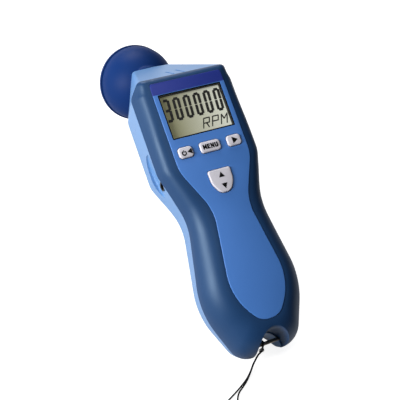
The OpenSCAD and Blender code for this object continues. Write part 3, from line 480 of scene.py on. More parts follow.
def rim_rows(outer, top, steps):
    """Conics from the panel's outline out and down to the outer one at the parting line, each drawn
    towards a corner by a pull: quarter ellipses round the grip, and along the head a tighter turn
    further in, which leaves a soft ridge between two slopes."""
    along = np.linspace(0, 1, steps)[:, None, None]
    head = 0.6 * eased((outer[:, 1:] - 62) / 30) + 0.4 * eased((outer[:, 1:] - 115) / 25)
    pull = np.sqrt(0.5) + 1.3 * head
    start, bend, end = (1 - along) ** 2, 2 * pull * along * (1 - along), along ** 2
    out = (bend * (1 - 0.38 * head) + end) / (start + bend + end)
    down = (bend * 0.14 * head + end) / (start + bend + end)
    flat = panel_ring + (outer - panel_ring) * out
    depth = top + (parting(outer[:, 1])[:, None] - top) * down
    return np.concatenate([flat, -depth], axis=-1)


def lifted(ring, height):
    """A flat ring at a height."""
    return np.column_stack([ring, np.full(len(ring), height)])


def prism(ring, low, high):
    """A flat outline carried straight from one height to another."""
    return np.stack([lifted(ring, low), lifted(ring, high)])


def turned(profile, steps=96):
    """A profile of radius and height carried round the Z axis."""
    profile = np.asarray(profile, float)
    angle = np.linspace(0, 2 * np.pi, steps, endpoint=False)
    spun = profile[:, None, :1] * np.stack([np.cos(angle), np.sin(angle)], axis=-1)
    return np.concatenate([spun, np.broadcast_to(profile[:, None, 1:], (*spun.shape[:2], 1))], axis=-1)


def cut(piece, *grids, smooth=40):
    """Takes closed shapes, given as grids of points in the case, out of a piece for good."""
    for number, grid in enumerate(grids):
        knife = add_surface(f"knife_{number}", on_table(grid))
        change = piece.modifiers.new("cut", "BOOLEAN")
        change.solver = "EXACT"
        change.object = knife
    whole = piece.evaluated_get(bpy.context.evaluated_depsgraph_get())
    mesh = bpy.data.meshes.new_from_object(whole)
    knives = [m.object for m in piece.modifiers]
    piece.modifiers.clear()
    piece.data = mesh
    for knife in knives:
        bpy.data.objects.remove(knife)
    soften(piece, smooth)


def moulded_grain():
    """Shared skin of moulded parts: fine grains and a slow mottle vary the colour and the roughness, and
    the grains give a height."""
    group = bpy.data.node_groups.new("moulded_grain", "ShaderNodeTree")
    sockets = {
        "INPUT": ("Colour", "Grains", "Fleck", "Roughness", "Spread"),
        "OUTPUT": ("Colour", "Roughness", "Height"),
    }
    for way, names in sockets.items():
        for name in names:
            kind = "NodeSocketColor" if name == "Colour" else "NodeSocketFloat"
            group.interface.new_socket(name, in_out=way, socket_type=kind)
    given, given_out = group.nodes.new("NodeGroupInput"), group.nodes.new("NodeGroupOutput")
    place = add_node(group, "TexCoord")
    grain = add_node(group, "TexNoise", {"Detail": 3})
    mottle = add_node(group, "TexNoise", {"Scale": 70, "Detail": 4})
    mixed = add_node(group, "Math", operation="ADD")
    tone = add_node(group, "Math", {1: 1.0}, operation="SUBTRACT")
    scaled = add_node(group, "Math", {2: 1.0}, operation="MULTIPLY_ADD")
    rough = add_node(group, "Math", operation="MULTIPLY_ADD")
    tint = add_node(group, "VectorMath", operation="SCALE")
    join_nodes(
        group, (place, "Object", grain, "Vector"), (place, "Object", mottle, "Vector"),
        (given, "Grains", grain, "Scale"), (grain, "Fac", mixed, 0), (mottle, "Fac", mixed, 1),
        (mixed, 0, tone, 0), (tone, 0, scaled, 0), (given, "Fleck", scaled, 1), (given, "Colour", tint, 0),
        (scaled, 0, tint, "Scale"), (tone, 0, rough, 0), (given, "Spread", rough, 1),
        (given, "Roughness", rough, 2), (tint, "Vector", given_out, "Colour"),
        (rough, 0, given_out, "Roughness"), (grain, "Fac", given_out, "Height"),
    )
    return group


skin = moulded_grain()


def moulded(name, colour, rough, specular=0.5, metallic=0.0, grains=2500, fleck=0.12, spread=0.1, bump=0.12):
    """A material with the moulded skin over a colour: returns it with its tree, shader and skin node."""
    material, tree, shader, bumps = new_finish(name, rough, metallic, specular, bump, 0.00005)
    face = add_node(tree, "Group", {
        "Colour": shade(*colour), "Grains": grains, "Fleck": fleck, "Roughness": rough, "Spread": spread,
    }, node_tree=skin)
    join_nodes(
        tree, (face, "Colour", shader, "Base Color"), (face, "Roughness", shader, "Roughness"),
        (face, "Height", bumps, "Height"),
    )
    return material, tree, shader, face


rim = add_surface(
    "soft_rim", on_table(np.concatenate([rim_rows(case_ring, 0, 30), rim_rows(cavity_ring, 2.7, 8)[::-1]])),
    loop_rows=True,
)
flare = np.linspace(0, 1, 14)
notch_profile = np.concatenate([
    [[notch_r, -45]],
    np.stack([notch_r + 2.3 * (1 - np.sqrt(1 - flare ** 2)), -4.6 + 4.4 * flare], axis=-1),
    [[12.1, 6]],
])
cut(rim, turned(notch_profile) + [0, notch_y, 0])
soft_blue, _, shader, _ = moulded(
    "soft_blue_rubber", (27, 59, 100), 0.45, specular=0.4, grains=3200, fleck=0.1, bump=0.25,
)
shader.inputs["Specular Tint"].default_value = (0.62, 0.83, 1.0, 1)
fasten(rim, soft_blue, "case", "soft_blue", "grip_rim")

# Rear shell: pale blue moulded plastic, drawn in towards the back, with the sloped nose, the collar for
# the lamp, a shallow pocket for the lead socket, two slots that free a snap tongue, and the door's bay.
nose = np.radians(27)
grip_depth, head_depth, grip_draw, head_draw = 33, 41, 3.7, 4.8
ridge_y = case_len + (head_depth - parting_crown) * np.tan(nose)
back_corners = [
    [0, 2.6, 0], [15, 2.6, 10], [bulb_half - grip_draw, bulb_y, 40], [waist_half - grip_draw, waist_y, 33],
    [head_half - head_draw, shoulder_y + 0.5, 16], [head_half - head_draw, cheek_y - 5, 9],
    [11.4, ridge_y, 3], [0, ridge_y + 0.4, 0],
]
grip_pit, head_pit = grip_draw + wall, head_draw + wall
pit_corners = [
    [0, 15.2, 0], [10, 15.5, 5], [bulb_half - grip_pit, bulb_y + 4, 35], [waist_half - grip_pit, waist_y, 33],
    [head_half - head_pit, shoulder_y, 16], [head_half - head_pit, cheek_y - 6, 5], [10, ridge_y - 3.4, 1.5],
    [0, ridge_y - 3, 0],
]


def to_head(y):
    """Share of the way from the grip to the head: 0 along the grip, easing to 1 at the head."""
    return eased((y - shoulder_y + 22) / 25)


def back(y):
    """Depth of the back: one depth along the grip, easing to another behind the head."""
    return grip_depth + (head_depth - grip_depth) * to_head(y)


def back_rounding(y):
    """Radius of the edge round the back: full at the heel and along the case, tighter up the nose."""
    grip = 8 - 3 * eased((y - 4) / 20)
    grip = grip + (6 - grip) * to_head(y)
    return np.where(y > cheek_y, 6 - 3.8 * eased((y - cheek_y) / 20), grip)


def inset(ring, by):
    """A ring moved inwards, square to itself."""
    ahead = directions(np.roll(ring, -1, axis=0) - np.roll(ring, 1, axis=0))
    return ring - np.reshape(by, (-1, 1)) * ahead[:, ::-1] * [1, -1]


def wall_rows(top, end, cover, steps):
    """A wall that leans straight from the parting line to where its rounding starts, then turns on a
    quarter ellipse onto the back."""
    drop = (back(end[:, 1]) - cover)[:, None]
    rounding = np.maximum(0.8, back_rounding(end[:, 1]) - cover)[:, None]
    rest = inset(end, rounding)
    above = parting(top[:, 1])[:, None] + 0.1
    start = np.concatenate([top, -above], axis=1)
    foot = np.concatenate([end, -drop], axis=1)
    knee = start + (foot - start) * (1 - rounding / (drop - above))
    tip = np.concatenate([rest, cover - back(rest[:, 1])[:, None]], axis=1)
    lean_in = start + (knee - start) * np.linspace(0, 1, 6, endpoint=False)[:, None, None]
    angle = np.linspace(0, np.pi / 2, steps)[:, None, None]
    turn = knee + (foot - knee) * np.sin(angle) + (tip - foot) * (1 - np.cos(angle))
    return np.concatenate([lean_in, turn])


back_ring, pit_ring = outline(back_corners), outline(pit_corners)
shell_rows = np.concatenate([
    wall_rows(cavity_ring, pit_ring, wall, 5)[::-1], wall_rows(case_ring, back_ring, 0, 14),
])
shell = add_surface("rear_case", on_table(shell_rows), caps="rungs")
door_half, door_foot, door_top = 14.9, 28.2, 82.5


def rounded_box(half_x, y0, y1, radius):
    """Outline of a rectangle with round corners, centred on x = 0."""
    return outline([[0, y0, 0], [half_x, y0, radius], [half_x, y1, radius], [0, y1, 0]], arc=8, run=2)


def nosed(points):
    """Points on the sloped nose, with y out of it and z down it from the crown's edge, in the case."""
    y, z, c, s = points[..., 1], points[..., 2], np.cos(nose), np.sin(nose)
    return np.stack([points[..., 0], case_len + y * c - z * s, -parting_crown + y * s + z * c], axis=-1)


def sideways(grid, place, turn=0.0):
    """A grid drawn along Z, laid along X from a place, and turned about the case's Z axis."""
    grid = np.stack([grid[..., 2], grid[..., 0], grid[..., 1]], axis=-1)
    c, s = np.cos(turn), np.sin(turn)
    return grid @ np.array([[c, s, 0], [-s, c, 0], [0, 0, 1]]) + place


slot_ring = outline([[0, -6, 0], [0.65, -6, 0.4], [0.65, 6, 0.4], [0, 6, 0]], arc=4, run=2)
slot_grid = prism(slot_ring, -1.1, 4)[..., [0, 2, 1]] + [0, 0, -7]


def capsule(radius, length=9.0, steps=20):
    """Outline of a slot: two half circles, a length apart along y, joined by straights."""
    angle = np.linspace(0, np.pi, steps)
    arc = radius * np.stack([np.cos(angle), np.sin(angle)], axis=-1)
    return np.concatenate([arc + [0, length], -arc])


jack_y, jack_z, pocket_z = 100.8, -15.3, -16.5
lip = np.array([[8.5, -10], [8.5, -1.1], [8.38, -0.55], [8.05, -0.12], [7.4, 0]])
pocket_grid = np.stack([lifted(capsule(r)[:, ::-1], h) for r, h in lip])
pocket_grid = sideways(pocket_grid, [-26.85, jack_y + 1.5, pocket_z], np.radians(5.5))
pocket_grid[..., 0] -= 0.2 * (pocket_grid[..., 2] - pocket_z)
screw_places, well = ((17, 149.6), (-17, 149.6), (0, 20.8)), 3
cut(
    shell,
    turned([[8.9, -45], [8.9, 5]]) + [0, notch_y, 0],
    prism(rounded_box(door_half + 0.3, door_foot - 0.3, door_top + 0.3, 1.5), -36, -29.6),
    pocket_grid,
    sideways(turned([[2.75, -3.6], [2.75, 4.4]], 40), [-27.6, jack_y, jack_z]),
    nosed(slot_grid + [-3, 0, 0]),
    nosed(slot_grid + [3, 0, 0]),
    turned([[5.05, -45], [5.05, -32.5]]) + [0, tripod_y, 0],
    *[
        turned([[2.8, -50], [2.8, well - back(y)], [1.5, well + 0.02 - back(y)], [1.5, -20]], 40) + [x, y, 0]
        for x, y in screw_places
    ],
)
pale_blue = moulded(
    "pale_blue_plastic", (98, 141, 192), 0.3, specular=0.2, grains=3000, fleck=0.06, bump=0.12,
)[0]
fasten(shell, pale_blue, "case", "pale_blue", "rear_shell")

# Collar: the short round neck of the rear shell behind the nose, moulded with it in the same plastic. The
# lamp's plug sits in it.
lamp_in, lamp_down = 10.9, 23.6
lamp_centre = np.array([
    0, ridge_y - lamp_in * np.cos(nose) + lamp_down * np.sin(nose),
    -head_depth - lamp_in * np.sin(nose) - lamp_down * np.cos(nose),
])


def on_lamp(grid):
    """A grid drawn about Z, set on the lamp's axis: its Z runs down the slope of the nose, to the light."""
    axis = np.array([0, np.sin(nose), -np.cos(nose)])
    over = np.array([0, np.cos(nose), np.sin(nose)])
    x, y, z = grid[..., :1], grid[..., 1:2], grid[..., 2:]
    return on_table(lamp_centre + x * [1, 0, 0] + y * over + z * axis)


collar_profile = [[9.25, -32], [10.6, -32], [10.6, -23.8], [10.2, -23.4], [9.25, -23.4]]
collar = add_surface("lamp_collar", on_lamp(turned(collar_profile)), loop_rows=True)
fasten(collar, pale_blue, "case", "pale_blue")

# Battery door: a pale blue plate flush with the back, hinged at its foot, with a thumb scoop at the latch
# end and moulded ribs that give the thumb a hold.
door_edge, door_inner = 0.5, -30.8
scoop_r, scoop_lift, scoop_down = 4.2, 3.2, 7
rib_high, rib_pitch, rib_half, rib_down, rib_reach = 0.35, 2.2, 8, 16.3, 3.6
door_rows = np.linspace(0, 1, 90)[:, None]
door_cols = np.linspace(-1, 1, 60)[None, :]
door_x = door_half * door_cols + 0 * door_rows
door_y = door_foot + (door_top - door_foot) * door_rows + 0 * door_cols
edge = np.minimum(door_half - np.abs(door_x), np.minimum(door_y - door_foot, door_top - door_y))
short = 1 - np.clip(edge / door_edge, 0, 1)
lip_fall = door_edge - door_edge * np.sqrt(np.clip(1 - short ** 2, 0, 1))
scoop = np.clip(scoop_r ** 2 - door_x ** 2 - (door_y - door_top + scoop_down) ** 2, 0, None)
scoop = np.clip(np.sqrt(scoop) - scoop_lift, 0, 1)
ribs = rib_high * np.clip(np.cos((door_y - door_top + 13) * 2 * np.pi / rib_pitch), 0, 1)
ribs = ribs * (np.abs(door_x) < rib_half) * (np.abs(door_y - door_top + rib_down) < rib_reach)
door_out = np.stack([door_x, door_y, -grip_depth + lip_fall + scoop + ribs], axis=-1)
door_in = np.stack([door_x, door_y, np.full(door_x.shape, door_inner)], axis=-1)


def add_plate(name, front, rear, smooth=40):
    """Two grids of the same outline, one behind the other, joined round their edges into a closed plate."""
    rows, cols = front.shape[:2]
    shift = rows * cols
    index = np.arange(shift).reshape(rows, cols)
    quads = np.stack([index[:-1, :-1], index[:-1, 1:], index[1:, 1:], index[1:, :-1]], axis=-1).reshape(-1, 4)
    border = np.concatenate([index[0, :-1], index[:-1, -1], index[-1, :0:-1], index[:0:-1, 0]])
    ahead = np.roll(border, -1)
    sides = np.stack([ahead, border, border + shift, ahead + shift], axis=-1)
    faces = np.concatenate([quads, quads[:, ::-1] + shift, sides])
    points = np.concatenate([front.reshape(-1, 3), rear.reshape(-1, 3)])
    piece = add_mesh(name, points, (faces if volume(points, faces) > 0 else faces[:, ::-1]).tolist())
    soften(piece, smooth)
    return piece


door = add_plate("battery_cover", on_table(door_out), on_table(door_in))
fasten(door, pale_blue, "battery_door", "pale_blue", "battery_door")

# Face panel: a printed plastic plate in a bed of the rim, a little proud of it, with a darker band printed
# across its top and openings for the display and the keys.
panel_edge = np.array([[0.15, -0.98], [0.15, -0.05], [0.17, 0.08], [0.24, 0.2], [0.34, 0.27], [0.5, 0.3]])
panel_rows = np.stack([lifted(inset(panel_ring, d), z) for d, z in panel_edge])
panel = add_surface("printed_panel", on_table(panel_rows), caps="rungs")
disp_half, disp_low, disp_top, key_y, rocker_y = 18.8, 120.1, 145.6, 112.1, 92.6


def key_ring(width, height, grow):
    """Outline of a key in the row, with round corners."""
    w, h = width / 2 + grow, height / 2 + grow
    return outline([[0, -h, 0], [w, -h, 1.8 + grow], [w, h, 1.8 + grow], [0, h, 0]], arc=10, run=4)


def shield_ring(grow):
    """Outline of the rocker: straight across the top, narrowing to a round foot."""
    return outline([
        [0, -6.5 - grow, 0], [2.9 + grow, -6.5 - grow, 4.4 + grow], [6.4 + grow, -1.1, 9],
        [6.7 + grow, 6.5 + grow, 1.3 + grow], [0, 6.5 + grow, 0],
    ], arc=12, run=4)


row_keys = {"key_left": (-14.4, 8.3), "key_menu": (0, 12), "key_right": (14.4, 8.3)}
key_high, key_gap = 6, 0.35
holes = [
    rounded_box(disp_half, disp_low, disp_top, 0.6),
    *[key_ring(width, key_high, key_gap) + [x, key_y] for x, width in row_keys.values()],
    shield_ring(key_gap) + [0, rocker_y],
]
cut(panel, *[prism(hole, -4, 2) for hole in holes])
panel_blue, band_blue = (74, 126, 202), (37, 54, 142)
printed, tree, _, face = moulded(
    "printed_blue", panel_blue, 0.42, specular=0.3, grains=4200, fleck=0.05, bump=0.06,
)


def case_place(tree):
    """Nodes that give a point's place in the case, in millimetres, from its place on the table."""
    place = add_node(tree, "TexCoord")
    into = add_node(tree, "Mapping", {
        "Location": case_origin, "Rotation": (lean, 0, 0), "Scale": (0.001, 0.001, 0.001),
    }, vector_type="TEXTURE")
    split = add_node(tree, "SeparateXYZ")
    join_nodes(tree, (place, "Object", into, "Vector"), (into, "Vector", split, "Vector"))
    return split


split = case_place(tree)
band = add_node(tree, "MapRange", {"From Min": disp_top + 0.15, "From Max": disp_top + 0.3})
ink = add_node(tree, "Mix", {"A": shade(*panel_blue), "B": shade(*band_blue)}, data_type="RGBA")
join_nodes(tree, (split, "Y", band, "Value"), (band, "Result", ink, "Factor"), (ink, 2, face, "Colour"))
fasten(panel, printed, "case", "panel_blue", "face_panel")

# Display: a clear window with a black border printed on it, over a black gasket and the liquid crystal
# glass, whose dark segments show six figures and the unit. The glass is painted paler towards its right,
# a painted reflection, and glows a little in the same colour, which is painted light.
window, tree, shader, _ = new_finish("clear_window", 0.06, specular=0.12)


def veiled(tree, scale, low, high):
    """Nodes that give an uneven haze: noise of a scale, between two levels."""
    place = add_node(tree, "TexCoord")
    haze = add_node(tree, "TexNoise", {"Scale": scale})
    veil = add_node(tree, "MapRange", {"To Min": low, "To Max": high})
    join_nodes(tree, (place, "Object", haze, "Vector"), (haze, "Fac", veil, "Value"))
    return veil


veil = veiled(tree, 90, 0.004, 0.014)
split = case_place(tree)
border, opaque = [add_node(tree, "Math", operation="MAXIMUM") for _ in range(2)]
border_from, border_full = 0.82, 0.74
disp_span = (disp_low + disp_top) / 2, (disp_top - disp_low) / 2
for number, (axis, middle, half) in enumerate((("X", 0.0, disp_half), ("Y", *disp_span))):
    off = add_node(tree, "Math", {1: middle}, operation="SUBTRACT")
    size = add_node(tree, "Math", operation="ABSOLUTE")
    mask = add_node(tree, "MapRange", {"From Min": half - border_from, "From Max": half - border_full})
    join_nodes(
        tree, (split, axis, off, 0), (off, 0, size, 0), (size, 0, mask, "Value"),
        (mask, "Result", border, number),
    )
ink = add_node(tree, "Mix", {"A": (0.9, 0.93, 0.9, 1), "B": shade(20, 17, 14)}, data_type="RGBA")
join_nodes(
    tree, (border, 0, opaque, 0), (veil, "Result", opaque, 1), (border, 0, ink, "Factor"),
    (opaque, 0, shader, "Alpha"), (ink, 2, shader, "Base Color"),
)
crystal, tree, shader, face = moulded(
    "liquid_crystal", (172, 171, 146), 0.35, grains=1500, fleck=0.03, bump=0.0,
)
# Painted reflection: the crystal runs from dark at its left to pale at its right, and that colour also glows
# as painted light.
split = case_place(tree)
painted_reflection_ramp = add_node(tree, "MapRange", {"From Min": -18, "From Max": 18})
glow = add_node(tree, "Mix", {"A": shade(111, 109, 68), "B": shade(202, 204, 190)}, data_type="RGBA")
shader.inputs["Emission Strength"].default_value = 0.34
join_nodes(
    tree, (split, "X", painted_reflection_ramp, "Value"), (painted_reflection_ramp, "Result", glow, "Factor"), (glow, 2, face, "Colour"),
    (glow, 2, shader, "Emission Color"),
)


def dress(node, material):
    """Gives a CAD node a finish in place of the plain one it came with."""
    slots = frame["nodes"][node].data.materials
    slots.clear()
    slots.append(material)


black_rubber = moulded("black_rubber", (22, 20, 18), 0.55, specular=0.3, grains=1800, bump=0.2)[0]
dress("display_window", window)
dress("display_gasket", black_rubber)
dress("lcd_glass", crystal)


def add_plates(name, shapes, low, high, material, body="case", slot="lcd"):
    """Thin plates from flat shapes with the same number of corners: each shape stands between two
    heights of the case."""
    shapes = np.asarray(shapes, float)
    count, sides = shapes.shape[:2]
    side = np.roll(shapes, -1, 1) - shapes
    after = np.roll(side, -1, 1)
    area = (side[..., 0] * after[..., 1] - side[..., 1] * after[..., 0]).sum(1)
    shapes = np.where((area < 0)[:, None, None], shapes[:, ::-1], shapes)
    levels = [np.concatenate([shapes, np.full((count, sides, 1), z)], axis=-1) for z in (low, high)]
    points = on_table(np.stack(levels, axis=1).reshape(-1, 3))
    base = 2 * sides * np.arange(count)[:, None]
    ring = np.arange(sides)[None]
    ahead = (ring + 1) % sides
    walls = np.stack([base + ring, base + ahead, base + ahead + sides, base + ring + sides], axis=-1)
    faces = (base + ring[:, ::-1]).tolist() + (base + ring + sides).tolist() + walls.reshape(-1, 4).tolist()
    fasten(add_mesh(name, points, faces), material, body, slot)


def strokes(lines, width):
    """Bars of a width along lines from point to point, with square ends that reach half a width on."""
    lines = np.asarray(lines, float)
    along = directions(lines[:, 1] - lines[:, 0]) * width / 2
    across = along[:, ::-1] * [-1, 1]
    a, b = lines[:, 0] - along, lines[:, 1] + along
    return np.stack([a - across, b - across, b + across, a + across], axis=1)


def slanted(shapes, degrees):
    """Shapes sheared to the right, by an angle from upright."""
    return shapes + shapes[..., 1:] * [np.tan(np.radians(degrees)), 0]


# Figures: six figures of black liquid crystal in the glass. Each has seven long six-sided segments, with
# small gaps between their points, and leans a little.
figure_w, figure_h, figure_ink, figure_step = 2.75, 11.5, 1.58, 6.06
ink_low, ink_high = -1.99, -1.94
ends = np.array([
    [[0, 1], [1, 1]], [[1, 0.5], [1, 1]], [[1, 0], [1, 0.5]], [[0, 0], [1, 0]],
    [[0, 0], [0, 0.5]], [[0, 0.5], [0, 1]], [[0, 0.5], [1, 0.5]],
]) * [figure_w, figure_h]
shown = [[0, 1, 2, 3, 6]] + [[0, 1, 2, 3, 4, 5]] * 5
picked = np.concatenate([ends[s] + [figure_step * k, 0] for k, s in enumerate(shown)])
along = directions(picked[:, 1] - picked[:, 0])
across = along[:, ::-1] * [-1, 1] * figure_ink / 2
tip, inner = along * 0.04, along * 0.3
figures = np.stack([
    picked[:, 0] + tip, picked[:, 0] + inner - across, picked[:, 1] - inner - across,
    picked[:, 1] - tip, picked[:, 1] - inner + across, picked[:, 0] + inner + across,
], axis=1)
segment_ink = moulded("segment_ink", (14, 10, 5), 0.5, specular=0.3, grains=2000, bump=0.0)[0]
add_plates("display_figures", slanted(figures, 4) + [-16.88, 131.0], ink_low, ink_high, segment_ink)

# Unit: three letters below the figures, also of liquid crystal. Each is made of thin slanted strokes, as a
# cell of fourteen segments shows it.
cell = np.array([[0, 0], [0.5, 0], [1, 0], [0, 0.5], [0.5, 0.5], [1, 0.5], [0, 1], [0.5, 1], [1, 1]])
cell_lines = {
    "R": [[0, 3], [3, 6], [6, 8], [8, 5], [5, 4], [4, 3], [4, 2]],
    "P": [[0, 3], [3, 6], [6, 8], [8, 5], [5, 4], [4, 3]],
    "M": [[0, 3], [3, 6], [6, 4], [4, 8], [8, 5], [5, 2]],
}
unit_lines = np.concatenate([cell[cell_lines[c]] + [k * 1.55, 0] for k, c in enumerate("RPM")]) * [3.5, 5.3]
unit_lines = unit_lines + 0.09 * (unit_lines[:, ::-1] - unit_lines)
unit = slanted(strokes(unit_lines, 0.66), 19)
add_plates("display_unit", unit + [1.2, 122.9], ink_low, ink_high, segment_ink)

# Keys: grey moulded caps with rounded edges and slightly crowned tops, each in its hole of the panel, with
# black printed signs. The shield-shaped one rocks, and the three in the row press down.
key_grey = moulded("key_grey", (213, 210, 219), 0.5, specular=0.35, grains=2600, fleck=0.16, bump=0.25)[0]
sign_ink = moulded("sign_ink", (9, 9, 10), 0.6, specular=0.12, grains=2000, bump=0.0)[0]
cap_foot, cap_top, cap_edge, cap_crown = -2.6, 1.3, 0.75, 0.16
sign_low, sign_high = 1.15, 1.32


def key_rows(ring):
    """A cap: straight sides, a quarter-round edge, and rings that shrink to the middle of a low crown."""
    turn = np.linspace(0, np.pi / 2, 9)
    falls = np.concatenate([[0], cap_edge * (1 - np.cos(turn))])
    heights = np.concatenate([[cap_foot], cap_top - cap_crown - cap_edge * (1 - np.sin(turn))])
    sides = [lifted(inset(ring, d), z) for d, z in zip(falls, heights)]
    top = inset(ring, cap_edge)
    shrink = np.linspace(0.94, 0.03, 14)[:, None, None]
    level = np.broadcast_to(cap_top - cap_crown * shrink ** 2, (*shrink.shape[:1], len(ring), 1))
    return np.concatenate([np.stack(sides), np.concatenate([top * shrink, level], axis=-1)])


caps = {key: (key_ring(width, key_high, 0), [x, key_y, 0]) for key, (x, width) in row_keys.items()}
caps["key_up_down"] = (shield_ring(0), [0, rocker_y, 0])
for key, (ring, place) in caps.items():
    fasten(add_surface("cap_" + key, on_table(key_rows(ring) + place)), key_grey, key, "key_grey", key)

arrow = np.array([[0, 1.4], [-1.42, -1.0], [1.42, -1.0]])
power_place = [-15.7, 111.7]
gap = np.radians(np.linspace(120, 420, 31))
ring_in, ring_out = [r * np.stack([np.cos(gap), np.sin(gap)], axis=-1) for r in (0.76, 1.42)]
letters = {
    "M": [[[0, 0], [0, 2]], [[0, 2], [0.75, 0.7]], [[0.75, 0.7], [1.5, 2]], [[1.5, 2], [1.5, 0]]],
    "E": [[[0, 0], [0, 2]], [[0, 0], [1.05, 0]], [[0, 1.02], [0.9, 1.02]], [[0, 2], [1.05, 2]]],
    "N": [[[0, 0], [0, 2]], [[0, 2], [1.25, 0]], [[1.25, 0], [1.25, 2]]],
    "U": [[[0, 0.25], [0, 2]], [[0.2, 0], [1.05, 0]], [[1.25, 0.25], [1.25, 2]]],
}
places = {"M": -4.0, "E": -1.55, "N": 0.55, "U": 2.85}
word = np.concatenate([np.array(letters[c]) + [x, 0] for c, x in places.items()])
signs = {
    "sign_left": ([arrow[:, ::-1] * [-1, 1] * 1.15 + [-12.15, 112.05]], "key_left"),
    "sign_right": ([arrow[:, ::-1] * 1.32 + [14.6, 112.05]], "key_right"),
    "sign_up": ([arrow * 1.2 + [0.2, 95.5]], "key_up_down"),
    "sign_down": ([arrow * [1.2, -1.2] + [0.2, 89.65]], "key_up_down"),
    "sign_power": ([np.concatenate([ring_in, ring_out[::-1]]) + power_place], "key_left"),
    "sign_power_bar": (strokes([[[0, 0.5], [0, 1.35]]], 0.5) + power_place, "key_left"),
    "sign_menu": (strokes(word, 0.7) + [-0.05, 111.15], "key_menu"),
}
for name, (shapes, body) in signs.items():
    add_plates(name, shapes, sign_low, sign_high, sign_ink, body, "key_grey")

# Strap bar: a bright steel pin across the notch, pressed into both legs. It is turned from rod, with
# bevelled ends.
steel = moulded(
    "bar_steel", (128, 122, 114), 0.3, metallic=0.8, grains=900, fleck=0.1, spread=0.12, bump=0.04,
)[0]
pin = np.array([[0.75, -12.4], [1.0, -12.15], [1.0, 12.15], [0.75, 12.4]])
bar = add_surface("strap_pin", on_table(sideways(turned(pin, 40), bar_place)))
fasten(bar, steel, "case", "bar_steel", "strap_bar")

# Lamp bell: a deep blue moulded dome with a short skirt, on a plug in the collar. A ring screwed on its
# mouth holds the clear lens against a seal, in front of the bright bowl.
bell_out, bell_in, lens_r, bowl_low, bowl_high = 22, 20.2, 20, 4, 19.3
mouth = np.radians(np.linspace(-57.5, 0, 40))
hollow = np.radians(np.linspace(0, -55, 24))
bell_profile = np.concatenate([
    [[7.6, -29.4], [9.1, -29.4], [9.1, -23.2], [11.4, -23.2], [11.4, -19.6]],
    bell_out * np.stack([np.cos(mouth), np.sin(mouth)], axis=-1),
    [[bell_out, 2.1], [21.85, 2.4], [21.6, 2.5], [bell_in, 2.5]],
    bell_in * np.stack([np.cos(hollow), np.sin(hollow)], axis=-1),
    [[7.6, -16.6]],
])
bell = add_surface("lamp_dome", on_lamp(turned(bell_profile, 160)), loop_rows=True)
bell_blue = moulded(
    "deep_blue_plastic", (15, 46, 101), 0.5, specular=0.08, grains=1500, fleck=0.08, bump=0.08,
)[0]
ring_profile = np.array([
    [bell_in, 2.6], [22.6, 2.6], [22.6, 4.4], [22.52, 4.72], [22.3, 4.95], [22.1, 5.0], [18.8, 5.0],
    [18.8, 3.5], [bell_in, 3.5],
])
lens_ring = add_surface("lens_bezel", on_lamp(turned(ring_profile, 160)), loop_rows=True, smooth=30)
fasten(bell, bell_blue, "case", "bell_blue", "lamp_bell")
fasten(lens_ring, bell_blue, "case", "bell_blue", "lens_ring")
clear_lens, tree, shader, _ = new_finish("lens_clear", 0.03, specular=0.5)
shader.inputs["Base Color"].default_value = (0.93, 0.96, 1.0, 1)
join_nodes(tree, (veiled(tree, 60, 0.08, 0.14), "Result", shader, "Alpha"))
bow = np.linspace(0.2, lens_r, 24)
lens_profile = np.concatenate([
    np.stack([bow, 3.35 - 0.4 * (bow / lens_r) ** 2], axis=-1), [[lens_r, 1.5], [0.2, 1.5]],
])
lens = add_surface("clear_lens", on_lamp(turned(lens_profile, 128)))
fasten(lens, clear_lens, "case", "lens_clear", "lens")
bowl_r = np.linspace(bowl_low, bowl_high, 40)
bowl_s = -13.4 + 14.0 * (bowl_r ** 2 - bowl_low ** 2) / (bowl_high ** 2 - bowl_low ** 2)
bowl_profile = np.concatenate([
    np.stack([bowl_r, bowl_s], axis=-1), np.stack([bowl_r + 0.6, bowl_s], axis=-1)[::-1],
])
bowl = add_surface("bright_bowl", on_lamp(turned(bowl_profile, 128)), loop_rows=True)
bright = moulded(
    "bright_bowl", (225, 227, 230), 0.12, metallic=1.0, grains=700, fleck=0.04, spread=0.08, bump=0.03,
)[0]
fasten(bowl, bright, "case", "bright_bowl", "reflector")

# Tripod socket: a brass insert pressed into the back, for a tripod's screw. Its bore is tapped with a
# quarter-inch thread, and opens out at the mouth.
thread_pitch, insert_end, insert_r = 1.27, -32.7, 5.0
climb = np.linspace(-head_depth, insert_end, 90)[:, None]
spin = np.linspace(0, 2 * np.pi, 64, endpoint=False)[None, :]
thread = 2.76 + 0.26 * np.cos(2 * np.pi * climb / thread_pitch - spin)
thread = thread + (4.0 - thread) * (1 - eased((climb + head_depth) / 0.8))
outside = np.array([[insert_r - 0.1, insert_end], [insert_r, insert_end - 0.1], [insert_r, -head_depth]])
wall_r = np.concatenate([thread, outside[:, :1] + 0 * spin])
wall_z = np.concatenate([climb, outside[:, 1:]])
insert_grid = np.stack(np.broadcast_arrays(
    wall_r * np.cos(spin), tripod_y + wall_r * np.sin(spin), wall_z,
), axis=-1)
insert = add_surface("tripod_thread", on_table(insert_grid), loop_rows=True, smooth=60)
brass = moulded(
    "insert_brass", (196, 158, 84), 0.3, metallic=1.0, grains=1200, fleck=0.12, spread=0.15, bump=0.05,
)[0]
fasten(insert, brass, "case", "insert_brass", "tripod_insert")

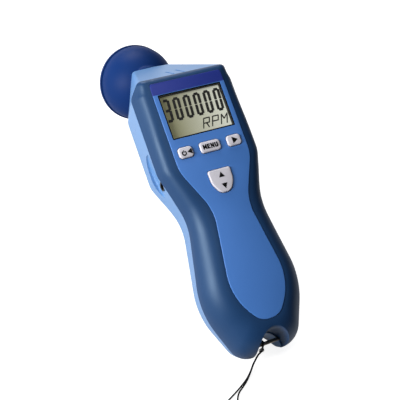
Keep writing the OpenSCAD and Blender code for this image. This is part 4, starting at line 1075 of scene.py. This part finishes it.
# Case screws: three zinc-plated steel screws at the bottom of wells in the back, which hold the two shells
# together. Each head is turned, and its cross recess is cut.
zinc = moulded(
    "spring_steel", (176, 178, 180), 0.32, metallic=1.0, grains=1500, fleck=0.12, spread=0.15, bump=0.05,
)[0]
cross = np.array([[-1.3, -0.28], [1.3, -0.28], [1.3, 0.28], [-1.3, 0.28]])
for number, (x, y) in enumerate(screw_places):
    top = well - back(y)
    head = np.array([
        [0.3, top - 1.6], [1.6, top - 1.58], [2.1, top - 1.45], [2.4, top - 1.1], [2.4, top - 0.05],
        [1.1, top - 0.05], [1.1, -9.0], [0.3, -9.0],
    ])
    screw = add_surface(f"case_screw_{number}", on_table(turned(head, 40) + [x, y, 0]))
    bars = (cross, cross[:, ::-1] * [-1, 1])
    cut(screw, *[prism(bar_ring + [x, y], top - 3, top - 0.8) for bar_ring in bars])
    fasten(screw, zinc, "case", "spring_steel")
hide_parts("case_screws")

# Pieces inside the case: boards, chips, cells, springs and leads as they come from their makers, each in
# its own plain finish. They stay as the solids are.
inside = {
    "front_shell": ((64, 110, 178), 0.5, 0.0, 2500, 0.06),
    "lcd_backlight": ((236, 236, 228), 0.4, 0.0, 1200, 0.03),
    "contact_strips": ((206, 142, 158), 0.6, 0.0, 3500, 0.2),
    "keypad_mat": ((88, 90, 96), 0.6, 0.0, 2200, 0.1),
    "main_board": ((28, 92, 54), 0.4, 0.0, 800, 0.2),
    "key_switches": ((46, 46, 50), 0.45, 0.0, 2400, 0.1),
    "controller_chip": ((30, 30, 33), 0.55, 0.0, 3600, 0.15),
    "driver_parts": ((62, 56, 52), 0.45, 0.0, 1600, 0.15),
    "jack_socket": ((20, 20, 22), 0.4, 0.0, 2600, 0.1),
    "battery_tray": ((140, 145, 152), 0.5, 0.0, 2600, 0.08),
    "battery_left": ((186, 180, 150), 0.35, 0.2, 600, 0.12),
    "battery_right": ((186, 180, 150), 0.35, 0.2, 600, 0.12),
    "battery_springs": ((190, 192, 195), 0.25, 1.0, 1400, 0.1),
    "battery_contacts": ((200, 200, 196), 0.28, 1.0, 1400, 0.12),
    "battery_leads": ((26, 26, 28), 0.45, 0.0, 2600, 0.1),
    "heat_sink": ((190, 192, 194), 0.4, 1.0, 1100, 0.12),
    "led_board": ((232, 233, 230), 0.45, 0.0, 1400, 0.04),
    "led_emitter": ((240, 226, 120), 0.3, 0.0, 1800, 0.08),
    "lens_seal": ((22, 20, 18), 0.6, 0.0, 1800, 0.1),
    "led_leads": ((176, 34, 30), 0.4, 0.0, 2600, 0.1),
}
for node, (colour, rough, metallic, grains, fleck) in inside.items():
    dress(node, moulded("inside_" + node, colour, rough, 0.4, metallic, grains, fleck, 0.12, 0.08)[0])

bpy.context.scene.view_settings.view_transform = "Standard"
